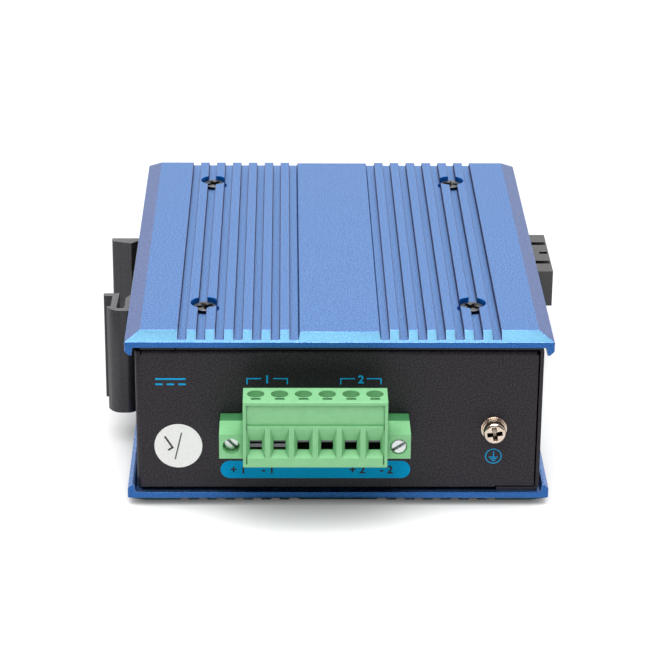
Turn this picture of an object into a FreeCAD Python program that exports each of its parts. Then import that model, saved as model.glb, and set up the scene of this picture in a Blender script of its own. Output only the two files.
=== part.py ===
import FreeCAD
import Part
import Sketcher

import math
import os
import re

from FreeCAD import Rotation, Vector

# Media converter for a 35 mm rail, lying on one of its two extruded covers.
# X runs from the rail clip to the port face, Y from the power face to the far face, Z up from the floor.

SIZES = {
    # Extruded covers
    "cover_thickness": "3.2",
    "side_chamfer": "3.3",
    "end_chamfer": "2.73",
    "chamfer_drop": "1.9",
    "cover_lip": "1.8",
    "lip_reach": "1.8",
    "lip_draft": "0.3",
    "lip_bevel": "0.95",
    "lip_gap": "0.3",
    "groove_inset": "12.4",
    "groove_pitch": "4.04",
    "groove_width": "1.85",
    "groove_depth": "1.5",
    "groove_lean": "0.28",
    "plateau_drop": "0.27",
    "counterbore_diameter": "6.2",
    "counterbore_depth": "2.05",
    "cover_screw_side": "16.9",
    "cover_screw_end": "17",
    "cover_screw_shift": "1.2",
    # Sheet housing
    "chassis_width": "88.8",
    "chassis_length": "112",
    "chassis_height": "34.7",
    "chassis_recess": "1.0",
    "sheet": "0.8",
    "bend_inside": "0.4",
    "seam_gap": "0.35",
    "top_lip_width": "8.7",
    "bottom_lip_width": "9.4",
    "corner_relief": "1.4",
    "corner_slot": "2.8",
    "flange_depth": "24",
    "flange_gap": "0.1",
    "panel_lift": "0.9",
    # Screws and nuts of the housing
    "head_diameter": "4.9",
    "cover_head_diameter": "5.2",
    "cover_head_rim": "0.25",
    "head_bevel": "0.3",
    "slot_head_bevel": "0.15",
    "shank_diameter": "3.0",
    "cover_screw_length": "6.4",
    "hole_clearance": "0.2",
    "thread_clearance": "0.05",
    "nut_diameter": "5.6",
    "nut_height": "2.0",
    # Rail clip
    "clip_length": "25.6",
    "clip_shift": "1.15",
    "clip_base": "3.1",
    "clip_arm": "4.1",
    "rail_width": "35.0",
    "rail_play": "0.3",
    "hook_height": "9.6",
    "hook_lip": "4.7",
    "hook_thickness": "2.0",
    "hook_undercut": "1.5",
    "spring_height": "9.35",
    "spring_thickness": "1.6",
    "spring_leg": "5.6",
    "spring_length": "10.6",
    "fin_overlap": "1.9",
    "hook_draft": "0.3",
    "hook_slope": "1.4",
    "ramp_half": "1.0",
    "spring_draft": "0.1",
    "leg_draft": "0.3",
    "bowl_heel": "2.6",
    "bowl_lip": "3.2",
    "bowl_fall": "0.8",
    "bowl_drop": "2.6",
    "bowl_radius": "3",
    "heel_radius": "2",
    "heel_step": "0.2",
    "clip_edge_radius": "0.4",
    "clip_inner_radius": "0.6",
    "clip_tip_radius": "0.25",
    "clip_screw_spacing": "18",
    "clip_head_diameter": "5.5",
    "clip_head_drop": "1.4",
    "clip_screw_length": "6.4",
    # Circuit board
    "standoff_height": "10.3",
    "standoff_diameter": "5.5",
    "standoff_side_inset": "6.5",
    "standoff_end_inset": "4.0",
    "board_thickness": "1.6",
    "board_side_margin": "2.5",
    "board_end_margin": "3.5",
    "board_screw_length": "6.0",
    "board_head_height": "1.9",
    # Terminal header on the board
    "way_pitch": "5.08",
    "terminal_offset": "5.35",
    "header_reach": "3.7",
    "header_depth": "12.0",
    "header_height": "8.5",
    "header_wall": "0.8",
    "socket_depth": "10.5",
    "header_flange": "8.0",
    "pin_width": "1.0",
    "pin_tail": "1.0",
    "pin_bend": "0.2",
    "pin_clearance": "0.05",
    "insert_diameter": "4.2",
    "insert_length": "5.0",
    "insert_clearance": "0.03",
    # Terminal plug
    "plug_margin": "2.725",
    "plug_lift": "0.3",
    "plug_height": "15.4",
    "plug_reach": "11.6",
    "plug_edge_radius": "0.25",
    "block_depth": "7.6",
    "rear_height": "8.2",
    "tongue_length": "8.4",
    "tongue_inset": "0.6",
    "tongue_gap": "0.1",
    "brow_height": "0.75",
    "band_height": "4.9",
    "band_recess": "0.5",
    "end_plate": "0.65",
    "end_groove": "0.3",
    "ear_width": "5.2",
    "ear_height": "5.7",
    "ear_depth": "7.1",
    "ear_bore": "3.7",
    "ear_bore_depth": "4.0",
    "funnel_width": "4.0",
    "funnel_height": "7.0",
    "funnel_base": "2.25",
    "funnel_depth": "1.8",
    "window_width": "2.56",
    "window_height": "2.25",
    "window_base": "3.4",
    "front_wall": "2.1",
    "shaft_diameter": "3.7",
    "shoulder_thickness": "0.8",
    "test_slot_length": "2.1",
    "test_slot_width": "0.85",
    "test_slot_depth": "1.5",
    "test_slot_offset": "2.5",
    # Wire clamps of the plug
    "cage_width": "4.0",
    "cage_depth": "4.2",
    "cage_height": "5.0",
    "cage_bar": "0.8",
    "cage_side": "0.4",
    "cage_top": "1.5",
    "cage_base": "2.0",
    "cage_gap": "0.1",
    "clamp_thread": "3.0",
    "clamp_head_diameter": "3.5",
    "clamp_head_height": "1.8",
    "driver_slot": "0.6",
    "driver_slot_depth": "0.9",
    "running_gap": "0.05",
    "strip_thickness": "0.6",
    "strip_width": "2.4",
    "tine_thickness": "0.4",
    "tine_height": "2.4",
    "tine_setback": "1.0",
    "contact_setback": "0.6",
    # Screws of the plug's ears
    "ear_head_diameter": "3.5",
    "ear_head_height": "2.0",
    "ear_thread": "2.5",
    "ear_screw_length": "8.0",
    "ear_screw_backed_out": "1.9",
    # Earth screw and paper seal on the power face
    "earth_inset": "10.4",
    "earth_rise": "15.2",
    "earth_head_height": "2.0",
    "earth_head_bevel": "0.5",
    "earth_screw_length": "5.0",
    "spring_washer_diameter": "5.3",
    "spring_washer_height": "0.8",
    "spring_washer_split": "0.5",
    "flat_washer_diameter": "5.7",
    "flat_washer_height": "0.5",
    "seal_inset": "9.2",
    "seal_rise": "10.9",
    "seal_diameter": "10.5",
    "seal_thickness": "0.1",
    # Fibre transceiver
    "fibre_inset": "24.0",
    "nose_reach": "9.5",
    "nose_width": "25.0",
    "nose_height": "9.2",
    "nose_lift": "0.25",
    "transceiver_length": "39",
    "transceiver_width": "25.4",
    "transceiver_height": "9.8",
    "port_pitch": "12.7",
    "port_width": "9.2",
    "port_height": "7.4",
    "port_depth": "10.5",
    "key_slot_width": "2.0",
    "key_bridge": "0.4",
    "centre_slot_width": "1.5",
    "centre_slot_length": "2.3",
    "centre_slot_depth": "1.2",
    "sleeve_diameter": "4.8",
    "ferrule_bore": "2.5",
    "sleeve_length": "6.0",
    "sleeve_seat": "1.0",
    "lead_pitch": "2.54",
    "lead_width": "0.5",
    # Ethernet jack
    "jack_offset": "4.0",
    "jack_width": "15.9",
    "jack_height": "13.4",
    "jack_depth": "21.3",
    "jack_reach": "0.3",
    "jack_shell": "0.3",
    "jack_fit": "0.05",
    "socket_width": "11.8",
    "socket_height": "6.8",
    "socket_base": "2.2",
    "socket_reach": "13.0",
    "latch_width": "6.2",
    "latch_height": "1.6",
    "jack_contact_pitch": "1.02",
    "jack_contact_width": "0.4",
    "jack_contact_length": "9.0",
    # Status lamps
    "lamp_inset": "23.0",
    "lamp_pitch": "5.0",
    "lamp_diameter": "3.0",
    "lamp_height": "5.0",
    "lamp_reach": "0.4",
    "lamp_dome": "0.6",
    "lamp_holder_depth": "6.0",
    "lamp_holder_height": "7.4",
    "lamp_holder_margin": "2.4",
    # Parts on the board
    "chip_across": "12.0",
    "chip_along": "14.0",
    "chip_width": "14.0",
    "chip_height": "1.4",
    "chip_standoff": "0.1",
    "chip_lead": "1.0",
    "chip_lead_thickness": "0.2",
    "chip_corner": "1.0",
    "transformer_gap": "3.0",
    "transformer_width": "12.7",
    "transformer_length": "16.0",
    "transformer_height": "6.2",
    "capacitor_diameter": "8.0",
    "capacitor_height": "11.5",
    "capacitor_pitch": "11.0",
    "capacitor_bevel": "0.5",
    "capacitor_side_inset": "14.0",
    "capacitor_end_inset": "24.0",
    "inductor_across": "6.0",
    "inductor_end_inset": "26.0",
    "inductor_width": "10.0",
    "inductor_height": "5.0",
    "crystal_gap": "5.0",
    "crystal_length": "11.0",
    "crystal_width": "4.6",
    "crystal_height": "3.5",
}

WAYS = 6
RAISED_CAGES = (1, 2)
CLAMP_SCREW_TURNS = (12, 140, 55, 20, 160, 95)
EAR_SCREW_TURNS = (-45, 33)
JACK_CONTACT_LEAN = 14
LAMPS = 5
OVER = "1"

document = FreeCAD.newDocument("MediaConverter")
sheet = document.addObject("Spreadsheet::Sheet", "Sizes")
for row, (size_name, number) in enumerate(SIZES.items(), 1):
    sheet.set(f"A{row}", size_name)
    sheet.set(f"B{row}", number)
    sheet.setAlias(f"B{row}", size_name)
document.recompute()

# Places that several pieces share, each a formula of the sizes above
HALF_WIDTH = "(chassis_width / 2)"
HALF_LENGTH = "(chassis_length / 2)"
COVER_HALF_WIDTH = "(chassis_width / 2 + lip_gap + cover_lip)"
COVER_HALF_LENGTH = "(chassis_length / 2 + chassis_recess)"
CHASSIS_FLOOR = "cover_thickness"
CHASSIS_TOP = "(cover_thickness + chassis_height)"
TOP = "(2 * cover_thickness + chassis_height)"
MIDDLE = "(cover_thickness + chassis_height / 2)"
FRONT = "(-chassis_length / 2)"
BEND_OUTSIDE = "(bend_inside + sheet)"
PANEL_RIGHT = "(chassis_width / 2 - sheet - seam_gap)"
FLANGE_TOP = f"({CHASSIS_TOP} - sheet - flange_gap)"
BOARD_BOTTOM = "(cover_thickness + sheet + standoff_height)"
BOARD_TOP = f"({BOARD_BOTTOM} + board_thickness)"
BOARD_SIDE = "(chassis_width / 2 - board_side_margin)"
BOARD_END = "(chassis_length / 2 - board_end_margin)"
TERMINAL = "(-terminal_offset)"
JACK = "(-jack_offset)"
LAMP_ROW = f"({FRONT} + lamp_inset)"
FIBRE = f"({HALF_LENGTH} - fibre_inset)"
EARTH_X = f"({HALF_WIDTH} - earth_inset)"
EARTH_Z = f"({CHASSIS_FLOOR} + earth_rise)"
HEADER_FRONT = f"({FRONT} - header_reach)"
PLUG_FRONT = f"({HEADER_FRONT} - plug_reach)"
PLUG_BOTTOM = f"({BOARD_TOP} + plug_lift)"
PLUG_TOP = f"({PLUG_BOTTOM} + plug_height)"
PLUG_HALF = f"({(WAYS - 1) / 2} * way_pitch + plug_margin)"
TONGUE_HALF = f"({PLUG_HALF} - tongue_inset)"
EAR_HALF = f"({PLUG_HALF} + ear_width)"
EAR_AXIS = f"({PLUG_HALF} + ear_width / 2)"
EAR_AXIS_HEIGHT = f"({PLUG_BOTTOM} + ear_height / 2)"
SOCKET_HALF = f"({TONGUE_HALF} + tongue_gap)"
HEADER_HALF = f"({SOCKET_HALF} + header_wall)"
CAVITY_FRONT = f"({PLUG_FRONT} + front_wall)"
CLAMP_AXIS = f"({CAVITY_FRONT} + cage_gap + cage_depth / 2)"
CAGE_BOTTOM = f"({PLUG_BOTTOM} + cage_base)"
STRIP_TOP = f"({CAGE_BOTTOM} + cage_height - cage_top - cage_gap)"
STRIP_BOTTOM = f"({STRIP_TOP} - strip_thickness)"
CAGE_TRAVEL = "(cage_height - cage_top - cage_bar - strip_thickness - 2 * cage_gap)"
CAVITY_TOP = f"({CAGE_BOTTOM} + cage_height + {CAGE_TRAVEL} + cage_gap)"
SHOULDER = f"({CAVITY_TOP} + shoulder_thickness)"
PIN_HEIGHT = f"({STRIP_BOTTOM} - tine_height / 2)"
PIN_REAR = f"({HEADER_FRONT} + header_depth)"
CONTACT_REAR = f"({HEADER_FRONT} + tongue_length - contact_setback)"
NOSE_FRONT = f"({HALF_WIDTH} + nose_reach)"
NOSE_BOTTOM = f"({BOARD_TOP} + nose_lift)"
NOSE_AXIS = f"({NOSE_BOTTOM} + nose_height / 2)"
PORT_REAR = f"({NOSE_FRONT} - port_depth)"
TRANSCEIVER_REAR = f"({NOSE_FRONT} - transceiver_length)"
JACK_FRONT = f"({HALF_WIDTH} + jack_reach)"
JACK_REAR = f"({JACK_FRONT} - jack_depth)"
LAMP_AXIS = f"({BOARD_TOP} + lamp_height)"
LAMP_FACE = f"({HALF_WIDTH} - sheet - seam_gap)"

UPWARD = Rotation()
INWARD_Y = Rotation(Vector(1, 0, 0), -90)
OUTWARD_Y = Rotation(Vector(1, 0, 0), 90)
OUTWARD_X = Rotation(Vector(0, 1, 0), 90)
TURNED_OVER = Rotation(Vector(0, 1, 0), 180)


# Helpers that tie every size to the sheet

def formula(text):
    """Write a formula in the sheet's own terms: each size name gets the sheet's prefix."""
    def prefixed(word):
        return f"Sizes.{word.group()}" if word.group() in SIZES else word.group()
    return re.sub(r"[a-z_]+", prefixed, text)


def bind(item, **sizes):
    """Tie properties of an object to formulas."""
    for name, text in sizes.items():
        item.setExpression(name, formula(text))
    return item


def put(item, x="0", y="0", z="0", turn=UPWARD):
    """Place an object by three formulas and a fixed turn."""
    item.Placement.Rotation = turn
    for axis, text in zip("xyz", (x, y, z)):
        item.setExpression(f"Placement.Base.{axis}", formula(text))
    return item


def box(name, x, y, z):
    """Box between two formulas on each axis."""
    item = document.addObject("Part::Box", name)
    for side, (low, high) in zip(("Length", "Width", "Height"), (x, y, z)):
        item.setExpression(side, formula(f"({high}) - ({low})"))
    return put(item, x[0], y[0], z[0])


def about(middle, half):
    """Two sides at the same distance from a middle."""
    return (f"{middle} - {half}", f"{middle} + {half}")


def rod(name, diameter, length, x="0", y="0", z="0", turn=UPWARD):
    """Plain cylinder."""
    item = document.addObject("Part::Cylinder", name)
    bind(item, Radius=f"({diameter}) / 2", Height=length)
    return put(item, x, y, z, turn)


def fuse(name, *pieces):
    item = document.addObject("Part::MultiFuse", name)
    item.Shapes = list(pieces)
    item.Refine = True
    return item


def group(name, pieces):
    item = document.addObject("Part::Compound", name)
    item.Links = list(pieces)
    return item


def cut(name, base, *tools):
    item = document.addObject("Part::Cut", name)
    item.Base = base
    item.Tool = tools[0] if len(tools) == 1 else fuse(f"{name}_tools", *tools)
    item.Refine = True
    return item


def copy(name, piece, x="0", y="0", z="0", turn=UPWARD):
    item = document.addObject("App::Link", name)
    item.LinkedObject = piece
    item.LinkTransform = True
    return put(item, x, y, z, turn)


def copies(name, piece, spots, turn=UPWARD):
    """The same piece at several places, as one group of solids."""
    links = []
    for index, (x, y, z) in enumerate(spots, 1):
        links.append(copy(f"{name}_copy_{index}", piece, x, y, z, turn))
    return group(name, links)


def draw(body, name, plane, corners, start="0"):
    """Closed outline on one of a body's own planes, each corner held by two formulas."""
    sketch = body.newObject("Sketcher::SketchObject", name)
    support = [item for item in body.Origin.OriginFeatures if item.Role == f"{plane}_Plane"][0]
    sketch.AttachmentSupport = (support, [""])
    sketch.MapMode = "FlatFace"
    sketch.setExpression("AttachmentOffset.Base.z", formula(start))
    count = len(corners)
    turns = [2 * math.pi * index / count for index in range(count)]
    spots = [Vector(10 * math.cos(turn), 10 * math.sin(turn), 0) for turn in turns]
    following = [(index + 1) % count for index in range(count)]
    sketch.addGeometry([Part.LineSegment(spots[index], spots[following[index]]) for index in range(count)])
    rules = [Sketcher.Constraint("Coincident", index, 2, following[index], 1) for index in range(count)]
    for index, spot in enumerate(spots):
        rules.append(Sketcher.Constraint("DistanceX", -1, 1, index, 1, spot.x))
        rules.append(Sketcher.Constraint("DistanceY", -1, 1, index, 1, spot.y))
    sketch.addConstraint(rules)
    for index, corner in enumerate(corners):
        sketch.setExpression(f"Constraints[{count + 2 * index}]", formula(corner[0]))
        sketch.setExpression(f"Constraints[{count + 2 * index + 1}]", formula(corner[1]))
    return sketch


def round_corners(body, sketch, pad, plane, corners):
    """Round the long edges that stand on the corners given with a radius."""
    document.recompute()
    places = {"XY": lambda p: (p.x, p.y), "XZ": lambda p: (p.x, p.z), "YZ": lambda p: (p.y, p.z)}[plane]
    last = pad
    for radius in dict.fromkeys(corner[2] for corner in corners if len(corner) > 2):
        marked = [index for index, corner in enumerate(corners) if corner[2:] == (radius,)]
        spots = [sketch.Geometry[index].StartPoint for index in marked]
        edges = []
        for number, edge in enumerate(last.Shape.Edges, 1):
            ends = [places(vertex.Point) for vertex in edge.Vertexes]
            for spot in spots:
                if len(ends) == 2 and all(math.dist(end, (spot.x, spot.y)) < 1e-4 for end in ends):
                    edges.append(f"Edge{number}")
        rounded = body.newObject("PartDesign::Fillet", f"{pad.Name}_round")
        rounded.Base = (last, edges)
        bind(rounded, Radius=radius)
        document.recompute()
        last = rounded


def bar(name, plane, corners, start, length):
    """Straight bar of one outline: XY rises from start, XZ and YZ run from start along Y and X."""
    body = document.addObject("PartDesign::Body", name)
    offset = f"-({start})" if plane == "XZ" else start
    sketch = draw(body, f"{name}_outline", plane, corners, offset)
    pad = body.newObject("PartDesign::Pad", f"{name}_pad")
    pad.Profile = (sketch, [""])
    pad.Reversed = plane == "XZ"
    bind(pad, Length=length)
    if any(len(corner) > 2 for corner in corners):
        round_corners(body, sketch, pad, plane, corners)
    return body


def turned(name, corners):
    """Round piece: an outline of radius and height, turned about Z."""
    body = document.addObject("PartDesign::Body", name)
    sketch = draw(body, f"{name}_outline", "XZ", corners)
    spin = body.newObject("PartDesign::Revolution", f"{name}_spin")
    spin.Profile = (sketch, [""])
    spin.ReferenceAxis = (sketch, ["V_Axis"])
    spin.Angle = 360
    return body


def tube(name, diameter, bore, length):
    inner = f"({bore}) / 2"
    outer = f"({diameter}) / 2"
    return turned(name, [(inner, "0"), (outer, "0"), (outer, length), (inner, length)])


def headed_screw(name, head, height, shank, length, bevel="head_bevel"):
    """Screw whose head stands on Z 0, with the shank hanging below."""
    rim = f"({head}) / 2"
    core = f"({shank}) / 2"
    return turned(name, [
        ("0", f"-({length})"), (core, f"-({length})"), (core, "0"), (rim, "0"),
        (rim, f"{height} - {bevel}"), (f"{rim} - 2 * {bevel}", height), ("0", height)])


def slotted(name, screw, head, height):
    """Cut a driver slot across a screw head."""
    reach = f"(({head}) / 2 + {OVER})"
    blade = box(f"{name}_blade", (f"-{reach}", reach), ("-driver_slot / 2", "driver_slot / 2"),
                (f"{height} - driver_slot_depth", f"{height} + {OVER}"))
    return cut(name, screw, blade)


nodes = {}


def node(item, label):
    """Hand in a finished piece under its own name."""
    item.Label = label
    nodes[label] = item
    return item


# Covers: a grooved extrusion with milled ends, the lower one the same piece turned over

def cover_outline():
    outer = COVER_HALF_WIDTH
    tip = f"({CHASSIS_TOP} - lip_reach)"
    left = [
        (f"{HALF_WIDTH} + lip_gap", CHASSIS_TOP),
        (f"{HALF_WIDTH} + lip_gap + lip_draft", tip),
        (f"{outer} - lip_bevel", tip),
        (outer, f"{tip} + lip_bevel"),
        (outer, f"{TOP} - chamfer_drop"),
        (f"{outer} - side_chamfer", TOP)]
    for index in range(7):
        middle = f"({outer} - groove_inset - {index} * groove_pitch)"
        lean = "groove_lean" if index == 6 else "0"
        drop = "plateau_drop" if index == 6 else "0"
        left += [
            (f"{middle} + groove_width / 2", TOP),
            (f"{middle} + groove_width / 2", f"{TOP} - groove_depth"),
            (f"{middle} - groove_width / 2", f"{TOP} - groove_depth"),
            (f"{middle} - groove_width / 2 - {lean}", f"{TOP} - {drop}")]
    right = list(reversed(left))
    return [(f"-({x})", z) for x, z in left] + right


def cover_screw_spots(height):
    across = f"({COVER_HALF_WIDTH} - cover_screw_side)"
    along = f"({COVER_HALF_LENGTH} - cover_screw_end)"
    return [(f"{side} {across}", f"{end} {along} + cover_screw_shift", height)
            for side in ("-", "+") for end in ("-", "+")]


def make_covers():
    blank = bar("cover_blank", "XZ", cover_outline(), f"-{COVER_HALF_LENGTH}", f"2 * {COVER_HALF_LENGTH}")
    slope = "chamfer_drop / end_chamfer"
    wedge = [
        (f"-{COVER_HALF_LENGTH} - {OVER}", f"{TOP} - chamfer_drop - {OVER} * {slope}"),
        (f"-{COVER_HALF_LENGTH} + end_chamfer + {OVER}", f"{TOP} + {OVER} * {slope}"),
        (f"-{COVER_HALF_LENGTH} - {OVER}", f"{TOP} + {OVER} * {slope}")]
    far_wedge = [(f"-({y})", z) for y, z in reversed(wedge)]
    reach = f"{COVER_HALF_WIDTH} + {OVER}"
    near_end = bar("cover_near_mill", "YZ", wedge, f"-({reach})", f"2 * ({reach})")
    far_end = bar("cover_far_mill", "YZ", far_wedge, f"-({reach})", f"2 * ({reach})")
    seat = rod("cover_seat", "counterbore_diameter", f"counterbore_depth + {OVER}", z="-counterbore_depth")
    hole = rod("cover_hole", "shank_diameter + 2 * hole_clearance", f"cover_thickness + {OVER}",
               z=f"-cover_thickness - {OVER} / 2")
    drill = fuse("cover_drill", seat, hole)
    drills = copies("cover_drills", drill, cover_screw_spots(TOP))
    upper = cut("top_cover", blank, near_end, far_end, drills)
    node(upper, "top_cover")
    lower = group("bottom_cover", [copy("bottom_cover_copy", upper, z=TOP, turn=TURNED_OVER)])
    node(lower, "bottom_cover")
    rim = "cover_head_diameter / 2"
    core = "shank_diameter / 2"
    screw = turned("cover_screw", [
        ("0", "-cover_screw_length"), (core, "-cover_screw_length"),
        (core, f"-cover_head_rim - {rim} + {core}"), (rim, "-cover_head_rim"), (rim, "0"), ("0", "0")])
    sink = f"(counterbore_depth - cover_head_rim - {rim} + {core} + hole_clearance)"
    node(copies("top_cover_screws", screw, cover_screw_spots(f"{TOP} - {sink}")), "top_cover_screws")
    node(copies("bottom_cover_screws", screw, cover_screw_spots(sink), TURNED_OVER), "bottom_cover_screws")
    nut = tube("clinch_nut", "nut_diameter", "shank_diameter + 2 * thread_clearance", "nut_height")
    upper_nut = f"{FLANGE_TOP} - sheet - nut_height"
    node(copies("top_cover_nuts", nut, cover_screw_spots(upper_nut)), "top_cover_nuts")
    node(copies("bottom_cover_nuts", nut, cover_screw_spots(f"{CHASSIS_FLOOR} + sheet")), "bottom_cover_nuts")
    return nut


# Sheet housing: the pan carries the power face, the shell carries the ports

def screw_holes(name, low, high):
    drill = rod(f"{name}_drill", "shank_diameter + 2 * hole_clearance", f"({high}) - ({low})")
    return copies(name, drill, cover_screw_spots(low))


def make_shell():
    seam = f"-{HALF_WIDTH} + top_lip_width + seam_gap"
    outline = [
        (seam, CHASSIS_TOP),
        (seam, f"{CHASSIS_TOP} - sheet"),
        (f"{HALF_WIDTH} - sheet", f"{CHASSIS_TOP} - sheet", "bend_inside"),
        (f"{HALF_WIDTH} - sheet", f"{CHASSIS_FLOOR} + sheet", "bend_inside"),
        (f"{HALF_WIDTH} - bottom_lip_width", f"{CHASSIS_FLOOR} + sheet"),
        (f"{HALF_WIDTH} - bottom_lip_width", CHASSIS_FLOOR),
        (HALF_WIDTH, CHASSIS_FLOOR, BEND_OUTSIDE),
        (HALF_WIDTH, CHASSIS_TOP, BEND_OUTSIDE)]
    blank = bar("shell_blank", "XZ", outline, FRONT, "chassis_length")
    through = (f"{HALF_WIDTH} - sheet - {OVER}", f"{HALF_WIDTH} + {OVER}")
    fibre = box("fibre_cutout", through, about(FIBRE, "(nose_width / 2 + hole_clearance)"),
                (f"{NOSE_BOTTOM} - hole_clearance", f"{NOSE_BOTTOM} + nose_height + hole_clearance"))
    jack = box("jack_cutout", through, about(JACK, "(jack_width / 2 + hole_clearance)"),
               (f"{BOARD_TOP} - hole_clearance", f"{BOARD_TOP} + jack_height + hole_clearance"))
    lamp_drill = rod("lamp_drill", "lamp_diameter + 2 * hole_clearance", f"sheet + 2 * {OVER}")
    lamps = copies("lamp_cutouts", lamp_drill, lamp_spots(f"{HALF_WIDTH} - sheet - {OVER}"), OUTWARD_X)
    holes = screw_holes("shell_screw_holes", f"{CHASSIS_TOP} - sheet - {OVER}", f"{CHASSIS_TOP} + {OVER}")
    node(cut("port_shell", blank, fibre, jack, lamps, holes), "port_shell")


def lamp_spots(x):
    return [(x, f"{LAMP_ROW} + {index - (LAMPS - 1) / 2} * lamp_pitch", LAMP_AXIS) for index in range(LAMPS)]


def top_flange(name, side):
    """Flange bent inward from the top of an end face; side -1 is the power face, 1 the far face."""
    low = f"{FLANGE_TOP} - 2 * {BEND_OUTSIDE}"
    outline = [
        (f"{side} * {HALF_LENGTH}", low),
        (f"{side} * ({HALF_LENGTH} - sheet)", low),
        (f"{side} * ({HALF_LENGTH} - sheet)", f"{FLANGE_TOP} - sheet", "bend_inside"),
        (f"{side} * ({HALF_LENGTH} - flange_depth)", f"{FLANGE_TOP} - sheet"),
        (f"{side} * ({HALF_LENGTH} - flange_depth)", FLANGE_TOP),
        (f"{side} * {HALF_LENGTH}", FLANGE_TOP, BEND_OUTSIDE)]
    start = f"-{HALF_WIDTH} + {BEND_OUTSIDE} + seam_gap"
    return bar(name, "YZ", outline, start, f"{PANEL_RIGHT} - seam_gap - ({start})")


def make_pan():
    inside = f"({HALF_WIDTH} - sheet)"
    faces = [
        (f"-{HALF_WIDTH}", FRONT, BEND_OUTSIDE),
        (PANEL_RIGHT, FRONT),
        (PANEL_RIGHT, f"{FRONT} + sheet"),
        (f"-{inside}", f"{FRONT} + sheet", "bend_inside"),
        (f"-{inside}", f"{HALF_LENGTH} - sheet", "bend_inside"),
        (PANEL_RIGHT, f"{HALF_LENGTH} - sheet"),
        (PANEL_RIGHT, HALF_LENGTH),
        (f"-{HALF_WIDTH}", HALF_LENGTH, BEND_OUTSIDE)]
    low = f"{CHASSIS_FLOOR} + panel_lift"
    ring = bar("pan_faces", "XY", faces, low, f"{CHASSIS_TOP} - {BEND_OUTSIDE} - ({low})")
    flange_room = (f"{FLANGE_TOP} - {BEND_OUTSIDE}", f"{CHASSIS_TOP} + {OVER}")
    beside_bend = (f"-{HALF_WIDTH} + {BEND_OUTSIDE}", f"{HALF_WIDTH} + {OVER}")
    near_face = (f"{FRONT} - {OVER}", f"{FRONT} + sheet + {OVER}")
    far_face = (f"{HALF_LENGTH} - sheet - {OVER}", f"{HALF_LENGTH} + {OVER}")
    near_room = box("pan_near_room", beside_bend, near_face, flange_room)
    far_room = box("pan_far_room", beside_bend, far_face, flange_room)
    walls = cut("pan_walls", ring, near_room, far_room)
    floor_end = f"{HALF_WIDTH} - bottom_lip_width - seam_gap"
    section = [
        (f"-{HALF_WIDTH}", CHASSIS_FLOOR, BEND_OUTSIDE),
        (f"-{HALF_WIDTH}", CHASSIS_TOP, BEND_OUTSIDE),
        (f"-{HALF_WIDTH} + top_lip_width", CHASSIS_TOP),
        (f"-{HALF_WIDTH} + top_lip_width", f"{CHASSIS_TOP} - sheet"),
        (f"-{inside}", f"{CHASSIS_TOP} - sheet", "bend_inside"),
        (f"-{inside}", f"{CHASSIS_FLOOR} + sheet", "bend_inside"),
        (floor_end, f"{CHASSIS_FLOOR} + sheet"),
        (floor_end, CHASSIS_FLOOR)]
    trough = bar("pan_trough", "XZ", section, f"{FRONT} + corner_relief",
                 "chassis_length - 2 * corner_relief")
    lip = box("pan_lip", (f"-{HALF_WIDTH} + {BEND_OUTSIDE}", f"-{HALF_WIDTH} + top_lip_width"),
              about("0", HALF_LENGTH), (f"{CHASSIS_TOP} - sheet", CHASSIS_TOP))
    near_flange = top_flange("pan_near_flange", -1)
    far_flange = top_flange("pan_far_flange", 1)
    blank = fuse("pan_blank", walls, trough, lip, near_flange, far_flange)
    bend = (f"-{HALF_WIDTH} - {OVER}", f"-{HALF_WIDTH} + sheet")
    slot_height = (f"{CHASSIS_FLOOR} - {OVER}", f"{CHASSIS_FLOOR} + corner_slot")
    near_slot = box("pan_near_slot", bend, (f"{FRONT} - {OVER}", f"{FRONT} + corner_relief"), slot_height)
    far_slot = box("pan_far_slot", bend, (f"{HALF_LENGTH} - corner_relief", f"{HALF_LENGTH} + {OVER}"),
                   slot_height)
    notch_start = f"{HALF_WIDTH} - bottom_lip_width - seam_gap"
    notch = box("pan_notch", (notch_start, f"{HALF_WIDTH} + {OVER}"),
                (f"{FRONT} - {OVER}", f"{HALF_LENGTH} + {OVER}"),
                (f"{CHASSIS_FLOOR} - {OVER}", f"{CHASSIS_FLOOR} + sheet + seam_gap"))
    ears = box("ear_cutout", about(TERMINAL, f"({EAR_HALF} + hole_clearance)"), near_face,
               (f"{BOARD_TOP} - hole_clearance", f"{PLUG_BOTTOM} + ear_height + hole_clearance"))
    header = box("header_cutout", about(TERMINAL, f"({HEADER_HALF} + hole_clearance)"), near_face,
                 (f"{BOARD_TOP} - hole_clearance", f"{BOARD_TOP} + header_height + hole_clearance"))
    hole = "shank_diameter + 2 * hole_clearance"
    earth = rod("earth_hole", hole, f"sheet + 2 * {OVER}", EARTH_X, f"{FRONT} - {OVER}", EARTH_Z, INWARD_Y)
    clip_drill = rod("pan_clip_drill", hole, f"sheet + 2 * {OVER}")
    clip = copies("pan_clip_holes", clip_drill, clip_screw_spots(f"-{HALF_WIDTH} - {OVER}"), OUTWARD_X)
    below = screw_holes("pan_floor_holes", f"{CHASSIS_FLOOR} - {OVER}", f"{CHASSIS_FLOOR} + sheet + {OVER}")
    above = screw_holes("pan_flange_holes", f"{FLANGE_TOP} - sheet - {OVER}", f"{FLANGE_TOP} + {OVER}")
    cuts = (near_slot, far_slot, notch, ears, header, earth, clip, below, above)
    node(cut("chassis_pan", blank, *cuts), "chassis_pan")


# Rail clip: one springy extrusion screwed to the back wall

def clip_screw_spots(x):
    return [(x, f"clip_shift {side} clip_screw_spacing / 2", MIDDLE) for side in ("-", "+")]


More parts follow.
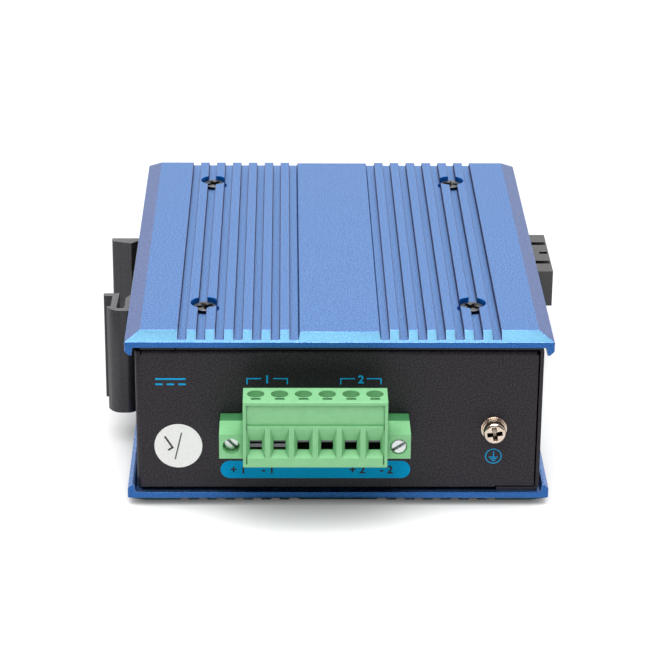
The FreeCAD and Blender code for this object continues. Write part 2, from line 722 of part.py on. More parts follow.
def make_clip(nut):
    def out(height):
        return f"-{HALF_WIDTH} - ({height})"
    near = "(clip_shift - rail_width / 2 - rail_play / 2)"
    far = "(clip_shift + rail_width / 2 + rail_play / 2)"
    hook_tip = f"({far} - hook_undercut)"
    fin_rear = f"({near} + fin_overlap)"
    bowl = f"({fin_rear} - spring_length)"
    outline = [
        (out("0"), f"{far} + hook_thickness"),
        (out("hook_height"), f"{far} + hook_thickness", "clip_edge_radius"),
        (out("hook_height - hook_draft"), f"{hook_tip} + hook_slope", "clip_inner_radius"),
        (out("hook_lip"), hook_tip, "clip_tip_radius"),
        (out("clip_base"), far),
        (out("clip_base"), f"{near} + ramp_half"),
        (out("clip_arm"), f"{near} - ramp_half"),
        (out("clip_arm"), f"{bowl} + spring_thickness", "clip_inner_radius"),
        (out("spring_leg + leg_draft"), f"{bowl} + spring_thickness", "clip_inner_radius"),
        (out("spring_leg"), fin_rear),
        (out("spring_height"), fin_rear, "clip_edge_radius"),
        (out("spring_height - spring_draft"), f"{fin_rear} - spring_thickness", "clip_edge_radius"),
        (out("spring_leg + spring_thickness"), f"{fin_rear} - spring_thickness", "clip_inner_radius"),
        (out("spring_leg + spring_thickness + spring_draft"), f"{bowl} + bowl_heel", "clip_tip_radius"),
        (out("spring_height - bowl_fall"), f"{bowl} + bowl_lip", "clip_tip_radius"),
        (out("spring_height - bowl_drop"), bowl, "bowl_radius"),
        (out("clip_base - heel_step"), bowl, "heel_radius"),
        (out("0"), f"{bowl} + bowl_heel")]
    blank = bar("clip_blank", "XY", outline, f"{MIDDLE} - clip_length / 2", "clip_length")
    face = f"-{HALF_WIDTH} - clip_base"
    sink = document.addObject("Part::Cone", "clip_sink")
    bind(sink, Radius1="clip_head_diameter / 2 + hole_clearance",
         Radius2="shank_diameter / 2 + hole_clearance", Height="clip_head_drop")
    hole = rod("clip_hole", "shank_diameter + 2 * hole_clearance", f"clip_base + 2 * {OVER}", z=f"-{OVER}")
    drill = fuse("clip_drill", sink, hole)
    drills = copies("clip_drills", drill, clip_screw_spots(face), OUTWARD_X)
    node(cut("rail_clip", blank, drills), "rail_clip")
    screw = turned("clip_screw", [
        ("0", "0"), ("clip_head_diameter / 2", "0"), ("shank_diameter / 2", "clip_head_drop"),
        ("shank_diameter / 2", "clip_screw_length"), ("0", "clip_screw_length")])
    node(copies("rail_clip_screws", screw, clip_screw_spots(face), OUTWARD_X), "rail_clip_screws")
    nut_spots = clip_screw_spots(f"-{HALF_WIDTH} + sheet")
    node(copies("rail_clip_nuts", nut, nut_spots, OUTWARD_X), "rail_clip_nuts")


# Circuit board on four standoffs

def standoff_spots(z):
    across = f"({BOARD_SIDE} - standoff_side_inset)"
    along = f"({BOARD_END} - standoff_end_inset)"
    return [(f"{side} {across}", f"{end} {along}", z) for side in ("-", "+") for end in ("-", "+")]


def way_spots(y="0", z="0"):
    return [(f"{TERMINAL} + {index - (WAYS - 1) / 2} * way_pitch", y, z) for index in range(WAYS)]


def lead_spots(z):
    x = f"{TRANSCEIVER_REAR} + lead_pitch"
    return [(x, f"{FIBRE} + {index - 4} * lead_pitch", z) for index in range(9)]


def make_board():
    blank = box("board_blank", about("0", BOARD_SIDE), about("0", BOARD_END), (BOARD_BOTTOM, BOARD_TOP))
    through = f"board_thickness + 2 * {OVER}"
    below = f"{BOARD_BOTTOM} - {OVER}"
    screw_drill = rod("board_screw_drill", "shank_diameter + 2 * hole_clearance", through)
    screws = copies("board_screw_holes", screw_drill, standoff_spots(below))
    half = "(pin_width / 2 + hole_clearance)"
    pin_drill = box("board_pin_drill", about("0", half), about("0", half), ("0", through))
    pins = copies("board_pin_holes", pin_drill, way_spots(f"{PIN_REAR} + pin_width", below))
    lead_drill = rod("board_lead_drill", "2 * lead_width", through)
    leads = copies("board_lead_holes", lead_drill, lead_spots(below))
    node(cut("circuit_board", blank, screws, pins, leads), "circuit_board")
    standoff = tube("standoff", "standoff_diameter", "shank_diameter + 2 * thread_clearance",
                    "standoff_height")
    node(copies("board_standoffs", standoff, standoff_spots(f"{CHASSIS_FLOOR} + sheet")), "board_standoffs")
    screw = headed_screw("board_screw", "standoff_diameter", "board_head_height", "shank_diameter",
                         "board_screw_length")
    node(copies("board_screws", screw, standoff_spots(BOARD_TOP)), "board_screws")


# Terminal header: open socket with bent pins and threaded inserts in its flanges

def ear_spots(y):
    return [(f"{TERMINAL} {side} {EAR_AXIS}", y, EAR_AXIS_HEIGHT) for side in ("-", "+")]


def make_header():
    body = box("header_body", about(TERMINAL, HEADER_HALF), (HEADER_FRONT, PIN_REAR),
               (BOARD_TOP, f"{BOARD_TOP} + header_height"))
    flange_rear = f"{HEADER_FRONT} + header_flange"
    flange = box("header_flange", about(TERMINAL, EAR_HALF), (HEADER_FRONT, flange_rear),
                 (BOARD_TOP, f"{PLUG_BOTTOM} + ear_height"))
    socket = box("header_socket", about(TERMINAL, SOCKET_HALF),
                 (f"{HEADER_FRONT} - {OVER}", f"{HEADER_FRONT} + socket_depth"),
                 (f"{BOARD_TOP} + header_wall", f"{BOARD_TOP} + header_height - header_wall"))
    half = "(pin_width / 2 + insert_clearance)"
    pin_drill = box("header_pin_drill", about("0", half), (HEADER_FRONT, f"{PIN_REAR} + {OVER}"),
                    about(PIN_HEIGHT, half))
    insert_drill = rod("header_insert_drill", "insert_diameter + 2 * insert_clearance",
                       f"header_flange + 2 * {OVER}")
    inserts = copies("header_insert_holes", insert_drill, ear_spots(f"{HEADER_FRONT} - {OVER}"), INWARD_Y)
    blank = fuse("header_blank", body, flange)
    node(cut("terminal_header", blank, socket, inserts, copies("header_pin_holes", pin_drill, way_spots())),
         "terminal_header")
    side = "pin_width / 2"
    tip = f"{HEADER_FRONT} + socket_depth - tongue_length"
    pin = bar("header_pin", "YZ", [
        (tip, f"{PIN_HEIGHT} - {side}"),
        (f"{PIN_REAR} + {side}", f"{PIN_HEIGHT} - {side}", "pin_bend"),
        (f"{PIN_REAR} + {side}", f"{BOARD_BOTTOM} - pin_tail"),
        (f"{PIN_REAR} + 3 * {side}", f"{BOARD_BOTTOM} - pin_tail"),
        (f"{PIN_REAR} + 3 * {side}", f"{PIN_HEIGHT} + {side}", "pin_bend + pin_width"),
        (tip, f"{PIN_HEIGHT} + {side}")], f"-{side}", "pin_width")
    node(copies("header_pins", pin, way_spots()), "header_pins")
    insert = tube("flange_insert", "insert_diameter", "ear_thread + 2 * thread_clearance", "insert_length")
    node(copies("flange_inserts", insert, ear_spots(HEADER_FRONT), INWARD_Y), "flange_inserts")


# Terminal plug: wire funnels, clamp shafts and contact channels in one moulding

def plug_way():
    """Everything cut out of the plug for one wire, around X 0."""
    funnel = document.addObject("Part::Wedge", "way_funnel")
    bind(funnel, Xmin="-funnel_width / 2", Xmax="funnel_width / 2", Ymin="0", Ymax="funnel_depth",
         Zmin="funnel_base", Zmax="funnel_base + funnel_height", X2min="-window_width / 2",
         X2max="window_width / 2", Z2min="window_base", Z2max="window_base + window_height")
    put(funnel, "0", PLUG_FRONT, PLUG_BOTTOM)
    window = box("way_window", about("0", "window_width / 2"),
                 (f"{PLUG_FRONT} + funnel_depth", f"{CAVITY_FRONT} + cage_gap"),
                 (f"{PLUG_BOTTOM} + window_base", f"{PLUG_BOTTOM} + window_base + window_height"))
    half = "(cage_width / 2 + cage_gap)"
    cavity = box("way_cavity", about("0", half), about(CLAMP_AXIS, "(cage_depth / 2 + cage_gap)"),
                 (f"{CAGE_BOTTOM} - cage_gap", CAVITY_TOP))
    shank = rod("way_shank_hole", "clamp_thread + 2 * hole_clearance", f"shoulder_thickness + {OVER}",
                y=CLAMP_AXIS, z=f"{CAVITY_TOP} - {OVER} / 2")
    shaft = rod("way_shaft", "shaft_diameter", f"{PLUG_TOP} - {SHOULDER} + {OVER}", y=CLAMP_AXIS, z=SHOULDER)
    slot_middle = f"({CLAMP_AXIS} - test_slot_offset)"
    test_slot = box("way_test_slot", about("0", "test_slot_length / 2"),
                    about(slot_middle, "test_slot_width / 2"),
                    (f"{PLUG_TOP} - test_slot_depth", f"{PLUG_TOP} + {OVER}"))
    side = "(strip_width / 2 + cage_gap)"
    slot_end = f"{HEADER_FRONT} + tongue_length + {OVER}"
    strip = box("way_strip_slot", about("0", side), (CLAMP_AXIS, slot_end),
                (f"{STRIP_BOTTOM} - cage_gap", f"{STRIP_TOP} + cage_gap"))
    fork = box("way_fork_slot", about("0", side), (f"{HEADER_FRONT} - tine_setback - cage_gap", slot_end),
               (f"{STRIP_BOTTOM} - tine_height - cage_gap", f"{STRIP_TOP} + cage_gap"))
    return fuse("plug_way", funnel, window, cavity, shank, shaft, test_slot, strip, fork)


def make_plug():
    left_end = f"{TERMINAL} - {PLUG_HALF}"
    body = bar("plug_body", "YZ", [
        (PLUG_FRONT, PLUG_BOTTOM, "plug_edge_radius"),
        (HEADER_FRONT, PLUG_BOTTOM),
        (HEADER_FRONT, f"{PLUG_BOTTOM} + rear_height"),
        (f"{PLUG_FRONT} + block_depth", f"{PLUG_BOTTOM} + rear_height"),
        (f"{PLUG_FRONT} + block_depth", PLUG_TOP, "plug_edge_radius"),
        (PLUG_FRONT, PLUG_TOP, "plug_edge_radius")], left_end, f"2 * {PLUG_HALF}")
    tongue_rear = f"{HEADER_FRONT} + tongue_length"
    tongue = box("plug_tongue", about(TERMINAL, TONGUE_HALF), (HEADER_FRONT, tongue_rear),
                 (f"{BOARD_TOP} + header_wall + tongue_gap",
                  f"{BOARD_TOP} + header_height - header_wall - tongue_gap"))
    ears = box("plug_ears", about(TERMINAL, EAR_HALF), (f"{HEADER_FRONT} - ear_depth", HEADER_FRONT),
               (PLUG_BOTTOM, f"{PLUG_BOTTOM} + ear_height"))
    blank = fuse("plug_blank", body, tongue, ears)
    ways = copies("plug_ways", plug_way(), way_spots())
    half = f"({PLUG_HALF} - end_plate)"
    recess = (f"{PLUG_FRONT} - {OVER}", f"{PLUG_FRONT} + band_recess")
    band_top = f"{PLUG_TOP} - brow_height"
    band = box("plug_band", about(TERMINAL, half), recess, (f"{band_top} - band_height", band_top))
    left, right = about(TERMINAL, half)
    groove_run = (f"{PLUG_BOTTOM} + brow_height", f"{band_top} - band_height / 2")
    grooves = [
        box("plug_left_groove", (left, f"{left} + end_groove"), recess, groove_run),
        box("plug_right_groove", (f"{right} - end_groove", right), recess, groove_run)]
    wide = rod("ear_wide_drill", "ear_bore", f"ear_bore_depth + {OVER}", z=f"-{OVER}")
    narrow = rod("ear_narrow_drill", "ear_thread + 2 * hole_clearance", f"ear_depth + {OVER}")
    drill = fuse("ear_drill", wide, narrow)
    drills = copies("ear_drills", drill, ear_spots(f"{HEADER_FRONT} - ear_depth"), INWARD_Y)
    node(cut("terminal_plug", blank, ways, band, drills, *grooves), "terminal_plug")
    screw = headed_screw("ear_screw_blank", "ear_head_diameter", "ear_head_height", "ear_thread",
                         "ear_screw_length", "slot_head_bevel")
    screw = slotted("ear_screw", screw, "ear_head_diameter", "ear_head_height")
    seat = f"{HEADER_FRONT} - ear_depth + ear_bore_depth"
    left, right = ear_spots(seat)
    turns = [OUTWARD_Y * Rotation(Vector(0, 0, 1), turn) for turn in EAR_SCREW_TURNS]
    tight = copy("ear_screw_tight", screw, *left, turn=turns[0])
    loose = copy("ear_screw_loose", screw, right[0], f"{right[1]} - ear_screw_backed_out", right[2], turns[1])
    node(group("flange_screws", [tight, loose]), "flange_screws")


# Wire clamps: each screw lifts its cage against a contact strip

def make_clamps():
    lid = f"{CAGE_BOTTOM} + cage_height"
    cage_outer = box("cage_outer", about("0", "cage_width / 2"), about(CLAMP_AXIS, "cage_depth / 2"),
                     (CAGE_BOTTOM, lid))
    cage_inner = box("cage_inner", about("0", "(cage_width / 2 - cage_side)"),
                     about(CLAMP_AXIS, f"(cage_depth / 2 + {OVER})"),
                     (f"{CAGE_BOTTOM} + cage_bar", f"{lid} - cage_top"))
    cage_bore = rod("cage_bore", "clamp_thread + 2 * thread_clearance", f"cage_top + {OVER}", y=CLAMP_AXIS,
                    z=f"{lid} - cage_top - {OVER} / 2")
    cage = cut("clamp_cage", cage_outer, cage_inner, cage_bore)
    seat = f"({SHOULDER} + running_gap)"
    screw = headed_screw("clamp_screw_blank", "clamp_head_diameter", "clamp_head_height", "clamp_thread",
                         f"{seat} - {STRIP_TOP} - running_gap", "slot_head_bevel")
    screw = slotted("clamp_screw", screw, "clamp_head_diameter", "clamp_head_height")
    for number, (x, _, _) in enumerate(way_spots(), 1):
        turn = Rotation(Vector(0, 0, 1), CLAMP_SCREW_TURNS[number - 1])
        node(copy(f"clamp_screw_{number}", screw, x, CLAMP_AXIS, seat, turn), f"clamp_screw_{number}")
        lift = CAGE_TRAVEL if number in RAISED_CAGES else "0"
        node(copy(f"clamp_cage_{number}", cage, x, "0", lift), f"clamp_cage_{number}")
    strip_run = (f"{CLAMP_AXIS} - cage_depth / 2 + contact_setback", CONTACT_REAR)
    strip = box("contact_strip", about("0", "strip_width / 2"), strip_run, (STRIP_BOTTOM, STRIP_TOP))
    gap = "(pin_width / 2 + pin_clearance)"
    low = f"{STRIP_BOTTOM} - tine_height"
    tine_run = (f"{HEADER_FRONT} - tine_setback", CONTACT_REAR)
    left = box("contact_left_tine", (f"-{gap} - tine_thickness", f"-{gap}"), tine_run, (low, STRIP_TOP))
    right = box("contact_right_tine", (gap, f"{gap} + tine_thickness"), tine_run, (low, STRIP_TOP))
    contact = fuse("contact", strip, left, right)
    node(copies("terminal_contacts", contact, way_spots()), "terminal_contacts")


# Earth screw with its washers, and the paper seal beside the terminals

def make_power_face(nut):
    flat_face = f"{FRONT} - flat_washer_height"
    spring_face = f"{flat_face} - spring_washer_height"
    bore = "shank_diameter + 2 * hole_clearance"
    flat = tube("flat_washer", "flat_washer_diameter", bore, "flat_washer_height")
    put(flat, EARTH_X, flat_face, EARTH_Z, INWARD_Y)
    node(flat, "earth_flat_washer")
    ring = tube("spring_washer_ring", "spring_washer_diameter", bore, "spring_washer_height")
    split = box("spring_washer_split_cut", about("0", "spring_washer_split / 2"),
                ("0", "spring_washer_diameter"), (f"-{OVER}", f"spring_washer_height + {OVER}"))
    spring = cut("spring_washer", ring, split)
    put(spring, EARTH_X, spring_face, EARTH_Z, INWARD_Y)
    node(spring, "earth_spring_washer")
    screw = headed_screw("earth_screw_blank", "head_diameter", "earth_head_height", "shank_diameter",
                         "earth_screw_length", "earth_head_bevel")
    put(screw, EARTH_X, spring_face, EARTH_Z, OUTWARD_Y)
    node(screw, "earth_screw")
    node(copies("earth_nut", nut, [(EARTH_X, f"{FRONT} + sheet", EARTH_Z)], INWARD_Y), "earth_nut")
    seal = rod("seal_disc", "seal_diameter", "seal_thickness", f"-{HALF_WIDTH} + seal_inset",
               f"{FRONT} - seal_thickness", f"{CHASSIS_FLOOR} + seal_rise", INWARD_Y)
    node(seal, "paper_seal")


# Fibre transceiver with two open ports

def make_transceiver():
    inner_wall = f"{HALF_WIDTH} - sheet - seam_gap"
    nose_top = f"{NOSE_BOTTOM} + nose_height"
    body = box("transceiver_body", (TRANSCEIVER_REAR, inner_wall), about(FIBRE, "transceiver_width / 2"),
               (BOARD_TOP, f"{BOARD_TOP} + transceiver_height"))
    nose = box("transceiver_nose", (f"{inner_wall} - {OVER}", NOSE_FRONT), about(FIBRE, "nose_width / 2"),
               (NOSE_BOTTOM, nose_top))
    blank = fuse("transceiver_blank", body, nose)
    mouth = f"{NOSE_FRONT} + {OVER}"
    port = box("port_hollow", (PORT_REAR, mouth), about("0", "port_width / 2"),
               about(NOSE_AXIS, "port_height / 2"))
    key = box("port_key", (HALF_WIDTH, mouth), about("0", "key_slot_width / 2"),
              (NOSE_AXIS, f"{nose_top} - key_bridge"))
    slot_end = f"{NOSE_FRONT} - key_bridge"
    window = box("key_window", (HALF_WIDTH, slot_end), about("0", "key_slot_width / 2"),
                 (NOSE_AXIS, f"{nose_top} + {OVER}"))
    seat = f"{PORT_REAR} - sleeve_seat"
    bore = rod("sleeve_seat_bore", "sleeve_diameter", f"sleeve_seat + {OVER}", seat, z=NOSE_AXIS,
               turn=OUTWARD_X)
    ports = fuse("port_cut", port, key, window, bore)
    rows = [f"{FIBRE} {side} port_pitch / 2" for side in ("-", "+")]
    port_cuts = copies("port_cuts", ports, [("0", row, "0") for row in rows])
    centre = box("centre_slot", (f"{NOSE_FRONT} - centre_slot_length", slot_end),
                 about(FIBRE, "centre_slot_width / 2"),
                 (f"{nose_top} - centre_slot_depth", f"{nose_top} + {OVER}"))
    node(cut("fibre_transceiver", blank, port_cuts, centre), "fibre_transceiver")
    sleeve = tube("sleeve", "sleeve_diameter", "ferrule_bore", "sleeve_seat + sleeve_length")
    spots = [(seat, row, NOSE_AXIS) for row in rows]
    node(copies("fibre_sleeves", sleeve, spots, OUTWARD_X), "fibre_sleeves")
    lead = box("transceiver_lead", about("0", "lead_width / 2"), about("0", "lead_width / 2"),
               ("0", "board_thickness + pin_tail"))
    node(copies("transceiver_leads", lead, lead_spots(f"{BOARD_BOTTOM} - pin_tail")), "transceiver_leads")


# Ethernet jack: folded shell, moulded insert, eight spring contacts

def make_jack():
    top = f"({BOARD_TOP} + jack_height)"
    mouth = f"{JACK_FRONT} + {OVER}"
    outer = box("jack_outer", (JACK_REAR, JACK_FRONT), about(JACK, "jack_width / 2"), (BOARD_TOP, top))
    hollow = box("jack_hollow", (f"{JACK_REAR} + jack_shell", mouth),
                 about(JACK, "(jack_width / 2 - jack_shell)"),
                 (f"{BOARD_TOP} - {OVER}", f"{top} - jack_shell"))
    node(cut("jack_shell_sheet", outer, hollow), "ethernet_shell")
    wall = "(jack_shell + jack_fit)"
    block = box("jack_block", (f"{JACK_REAR} + {wall}", JACK_FRONT),
                about(JACK, f"(jack_width / 2 - {wall})"), (BOARD_TOP, f"{top} - {wall}"))
    floor = f"({BOARD_TOP} + socket_base)"
    ceiling = f"{floor} + socket_height"
    socket_end = f"{JACK_FRONT} - socket_reach"
    socket = box("jack_socket", (socket_end, mouth), about(JACK, "socket_width / 2"), (floor, ceiling))
    latch = box("jack_latch", (socket_end, mouth), about(JACK, "latch_width / 2"),
                (f"{ceiling} - jack_fit", f"{ceiling} + latch_height"))
    node(cut("jack_insert", block, socket, latch), "ethernet_insert")
    wire = box("jack_contact", ("0", "jack_contact_length"), about("0", "jack_contact_width / 2"),
               ("0", "jack_contact_width"))
    lean = Rotation(Vector(0, 1, 0), -JACK_CONTACT_LEAN)
    rows = [f"{JACK} + {index - 3.5} * jack_contact_pitch" for index in range(8)]
    spots = [(f"{socket_end} + jack_contact_width", row, floor) for row in rows]
    node(copies("ethernet_contacts", wire, spots, lean), "ethernet_contacts")


# Status lamps in a holder behind the port face

def make_lamps():
    half = f"({(LAMPS - 1) / 2} * lamp_pitch + lamp_holder_margin)"
    holder = box("lamp_block", (f"{LAMP_FACE} - lamp_holder_depth", LAMP_FACE), about(LAMP_ROW, half),
                 (BOARD_TOP, f"{BOARD_TOP} + lamp_holder_height"))
    node(holder, "lamp_holder")
    reach = "(sheet + seam_gap + lamp_reach)"
    radius = "(lamp_diameter / 2)"
    lamp = turned("lamp", [
        ("0", "0"), (radius, "0"), (radius, f"{reach} - lamp_dome"), (f"{radius} - lamp_dome", reach),
        ("0", reach)])
    node(copies("status_lamps", lamp, lamp_spots(LAMP_FACE), OUTWARD_X), "status_lamps")


# Larger parts soldered to the board

def make_components():
    middle_x = "(-chip_across)"
    body = "chip_width / 2"
    leads = "(chip_width / 2 + chip_lead)"
    run = "(chip_width / 2 - chip_corner)"
    lead_height = (BOARD_TOP, f"{BOARD_TOP} + chip_lead_thickness")
    package = box("chip_package", about(middle_x, body), about("chip_along", body),
                  (f"{BOARD_TOP} + chip_standoff", f"{BOARD_TOP} + chip_height"))
    across = box("chip_leads_across", about(middle_x, leads), about("chip_along", run), lead_height)
    along = box("chip_leads_along", about(middle_x, run), about("chip_along", leads), lead_height)
    node(fuse("chip", package, across, along), "controller_chip")
    near_jack = f"({JACK_REAR} - transformer_gap)"
    transformer = box("transformer", (f"{near_jack} - transformer_width", near_jack),
                      about(JACK, "transformer_length / 2"), (BOARD_TOP, f"{BOARD_TOP} + transformer_height"))
    node(transformer, "line_transformer")
    radius = "(capacitor_diameter / 2)"
    can = turned("capacitor", [
        ("0", "0"), (radius, "0"), (radius, "capacitor_height - capacitor_bevel"),
        (f"{radius} - capacitor_bevel", "capacitor_height"), ("0", "capacitor_height")])
    first = f"-{HALF_WIDTH} + capacitor_side_inset"
    row = f"{FRONT} + capacitor_end_inset"
    cans = [(f"{first} + {index} * capacitor_pitch", row, BOARD_TOP) for index in range(2)]
    node(copies("capacitors", can, cans), "smoothing_capacitors")
    half = "inductor_width / 2"
    inductor = box("inductor", about("inductor_across", half), about(f"({FRONT} + inductor_end_inset)", half),
                   (BOARD_TOP, f"{BOARD_TOP} + inductor_height"))
    node(inductor, "power_inductor")
    near_chip = f"(chip_along - {leads} - crystal_gap)"
    crystal = box("crystal_can", about(middle_x, "crystal_length / 2"),
                  (f"{near_chip} - crystal_width", near_chip), (BOARD_TOP, f"{BOARD_TOP} + crystal_height"))
    node(crystal, "clock_crystal")


clinch_nut = make_covers()
make_shell()
make_pan()
make_clip(clinch_nut)
make_board()
make_header()
make_plug()
make_clamps()
make_power_face(clinch_nut)
make_transceiver()
make_jack()
make_lamps()
make_components()
document.recompute()

# Every object must have built before anything is written out
for item in document.Objects:
    if "Invalid" in item.State or "Error" in item.State:
        raise RuntimeError(f"{item.Name} did not build")
os.makedirs("parts", exist_ok=True)
for label, item in nodes.items():
    shape = Part.getShape(item)
    if shape.isNull() or not shape.isValid() or not shape.Solids:
        raise RuntimeError(f"{label} has no valid solid")
    shape.exportStep(f"parts/{label}.step")
    print(label, len(shape.Solids), round(shape.Volume, 1))
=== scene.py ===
# %% [markdown]
# # Industrial media converter
# A rail-mounted box turns copper Ethernet into fibre. It lies on one of its two blue covers, with the power
# face and its green terminal plug towards us. The solid pieces come from the CAD frame. This script adds
# driver recesses, print, domed lamps and a finish for every piece.

import math

import bmesh
import bpy
import numpy as np
from mathutils import Matrix, Vector


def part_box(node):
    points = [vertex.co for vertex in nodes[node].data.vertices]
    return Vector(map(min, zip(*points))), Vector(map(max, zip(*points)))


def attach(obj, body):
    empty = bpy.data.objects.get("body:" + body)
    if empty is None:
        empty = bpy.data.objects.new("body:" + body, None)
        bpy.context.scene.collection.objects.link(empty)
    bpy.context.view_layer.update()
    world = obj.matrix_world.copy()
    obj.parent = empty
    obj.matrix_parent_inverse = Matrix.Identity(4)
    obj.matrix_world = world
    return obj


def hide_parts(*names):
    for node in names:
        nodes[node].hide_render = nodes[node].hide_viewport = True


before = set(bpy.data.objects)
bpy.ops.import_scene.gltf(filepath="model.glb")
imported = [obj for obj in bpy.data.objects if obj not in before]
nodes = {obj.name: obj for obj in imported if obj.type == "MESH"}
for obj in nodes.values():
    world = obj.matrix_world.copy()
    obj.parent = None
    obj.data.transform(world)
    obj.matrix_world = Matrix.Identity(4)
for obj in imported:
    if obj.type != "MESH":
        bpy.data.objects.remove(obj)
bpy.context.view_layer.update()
MM = 0.001


def span(name):
    """Lowest and highest corner of a CAD node, in millimetres."""
    low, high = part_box(name)
    return np.array(low) / MM, np.array(high) / MM


print("pieces in the frame:", len(nodes))

# %% [markdown]
# ## Camera
# The photograph was taken with a long lens from the front, a little above: round things on the power face
# look 0.92 times as tall as wide, so the view falls by 23 degrees. The place below was fitted to the
# cover's corners, the terminals and the seal. A long lens keeps the box's sides nearly parallel, as a
# product photographer wants.

# %% Camera
# The angles are in radians, the lens and the camera's place in millimetres.
FALL = 0.402757
SWING = 0.019512
ROLL = 0.00879
LENS = 141.74
CAMERA_SPOT = np.array([-12.006, -572.953, 261.803])
camera_data = bpy.data.cameras.new("Camera")
camera_data.sensor_width = 36
camera_data.lens = LENS
camera_data.clip_start = 0.05
camera = bpy.data.objects.new("Camera", camera_data)
forward = np.array([math.sin(SWING) * math.cos(FALL), math.cos(SWING) * math.cos(FALL), -math.sin(FALL)])
level = np.array([math.cos(SWING), -math.sin(SWING), 0])
upright = np.cross(level, forward)
right = level * math.cos(ROLL) + upright * math.sin(ROLL)
up = upright * math.cos(ROLL) - level * math.sin(ROLL)
place = np.eye(4)
place[:3, 0] = right
place[:3, 1] = up
place[:3, 2] = -forward
place[:3, 3] = CAMERA_SPOT * MM
camera.matrix_world = Matrix(place.tolist())
bpy.context.collection.objects.link(camera)
bpy.context.scene.camera = camera
bpy.context.scene.view_settings.view_transform = "Standard"
print("camera", round(float(np.linalg.norm(place[:3, 3])), 3), "m from the middle of the floor")

# %% [markdown]
# ## Material tools
# Colours are written as sRGB hex, as a paint card gives them, and one function turns them into the linear
# values that the renderer works with. One helper adds any node with its settings and links. Most finishes
# here are a base colour that wanders a little between two shades, with the gloss and the relief wandering
# along with it, so one recipe makes them and its numbers are real sizes in millimetres.

# %% Colour and node helpers
def linear(code):
    """Linear colour of an sRGB hex code."""
    share = np.array([int(code[i:i + 2], 16) for i in (1, 3, 5)]) / 255
    value = np.where(share <= 0.04045, share / 12.92, ((share + 0.055) / 1.055) ** 2.4)
    return (*value.tolist(), 1.0)


def add(tree, kind, sockets=(), out=0, **settings):
    """Add a node with settings and with values or links for its sockets. Returns the output called out."""
    item = tree.nodes.new(kind)
    for name, value in settings.items():
        setattr(item, name, value)
    for name, value in dict(sockets).items():
        if isinstance(value, bpy.types.NodeSocket):
            tree.links.new(value, item.inputs[name])
        else:
            item.inputs[name].default_value = value
    return item.outputs[out]


def new_finish(name, **values):
    """New material with its node tree and its shader, whose plain sockets take the given values."""
    material = bpy.data.materials.new(name)
    material.use_nodes = True
    shader = material.node_tree.nodes["Principled BSDF"]
    for socket, value in values.items():
        shader.inputs[socket.replace("_", " ")].default_value = value
    return material, material.node_tree, shader.inputs


print("mid grey is", [round(v, 3) for v in linear("#808080")[:3]], "in linear light")

# %% Noise
# Noise lies mostly between these two values, which are stretched to 0 and 1.
NOISE_LOW, NOISE_HIGH = 0.3, 0.7


def blots(tree, size, stretch=(1, 1, 1), detail=2.0):
    """Noise from 0 to 1, its blots about size millimetres wide, drawn out by stretch along X, Y and Z."""
    spot = add(tree, "ShaderNodeTexCoord", out="Object")
    scale = [1 / (size * MM * reach) for reach in stretch]
    spot = add(tree, "ShaderNodeMapping", {"Vector": spot, "Scale": scale})
    noise = add(tree, "ShaderNodeTexNoise", {"Vector": spot, "Scale": 1.0, "Detail": detail})
    return add(tree, "ShaderNodeMapRange", {"Value": noise, "From Min": NOISE_LOW, "From Max": NOISE_HIGH})


print("noise is stretched from", NOISE_LOW, "to", NOISE_HIGH)

# %% Surface recipe
# Openness at which a recess takes the full painted shade, and at which it takes none.
FULL_SHADE, NO_SHADE = 0.35, 0.85


def mottled(name, dark, light, size, roughness, grit=0.2, depth=0.003, shade_reach=0, grime="#121214", **values):
    """Finish that wanders between two shades over blots of size millimetres, and between two roughnesses.

    Its relief is depth millimetres deep, on a grit of its own. Recesses narrower than the given reach in
    millimetres are darkened towards the given shade colour: a painted shade, drawn from ambient occlusion.
    """
    material, tree, inputs = new_finish(name, **values)
    share = blots(tree, size)
    shade = add(tree, "ShaderNodeMix", {0: share, 6: linear(dark), 7: linear(light)}, 2, data_type="RGBA")
    # Painted shade: ambient occlusion darkens the colour in recesses.
    if shade_reach:
        openness = add(tree, "ShaderNodeAmbientOcclusion", {"Distance": shade_reach * MM}, "AO",
                       samples=8, only_local=True)
        unshaded = add(tree, "ShaderNodeMapRange", {"Value": openness, "From Min": FULL_SHADE, "From Max": NO_SHADE})
        shade = add(tree, "ShaderNodeMix", {0: unshaded, 6: linear(grime), 7: shade}, 2, data_type="RGBA")
    tree.links.new(shade, inputs["Base Color"])
    rough = add(tree, "ShaderNodeMapRange", {"Value": share, "To Min": roughness[0], "To Max": roughness[1]})
    tree.links.new(rough, inputs["Roughness"])
    relief = {"Height": blots(tree, grit), "Distance": depth * MM, "Strength": 1.0}
    tree.links.new(add(tree, "ShaderNodeBump", relief), inputs["Normal"])
    return material


print("grime fills a recess that is less than", FULL_SHADE, "open")

# %% Dressing helpers
# Corners this close, in millimetres, are one. Faces within the first angle are flat, and edges past the
# second are sharp, both in degrees.
SAME_CORNER = 0.002
FLAT_ANGLE = 0.5
EDGE_ANGLE = 32


def dress(material, *names):
    """Give CAD nodes a material."""
    for name in names:
        nodes[name].data.materials.clear()
        nodes[name].data.materials.append(material)


def break_edges(width, *names):
    """Break the sharp edges of CAD nodes by a small bevel, width in millimetres."""
    for name in names:
        item = nodes[name]
        weld = item.modifiers.new("Join corners", "WELD")
        weld.merge_threshold = SAME_CORNER * MM
        flat = item.modifiers.new("Merge flats", "DECIMATE")
        flat.decimate_type = "DISSOLVE"
        flat.angle_limit = math.radians(FLAT_ANGLE)
        edge = item.modifiers.new("Broken edges", "BEVEL")
        edge.width = width * MM
        edge.segments = 2
        edge.limit_method = "ANGLE"
        edge.angle_limit = math.radians(EDGE_ANGLE)
        edge.harden_normals = True


print("nodes to dress:", len(nodes))

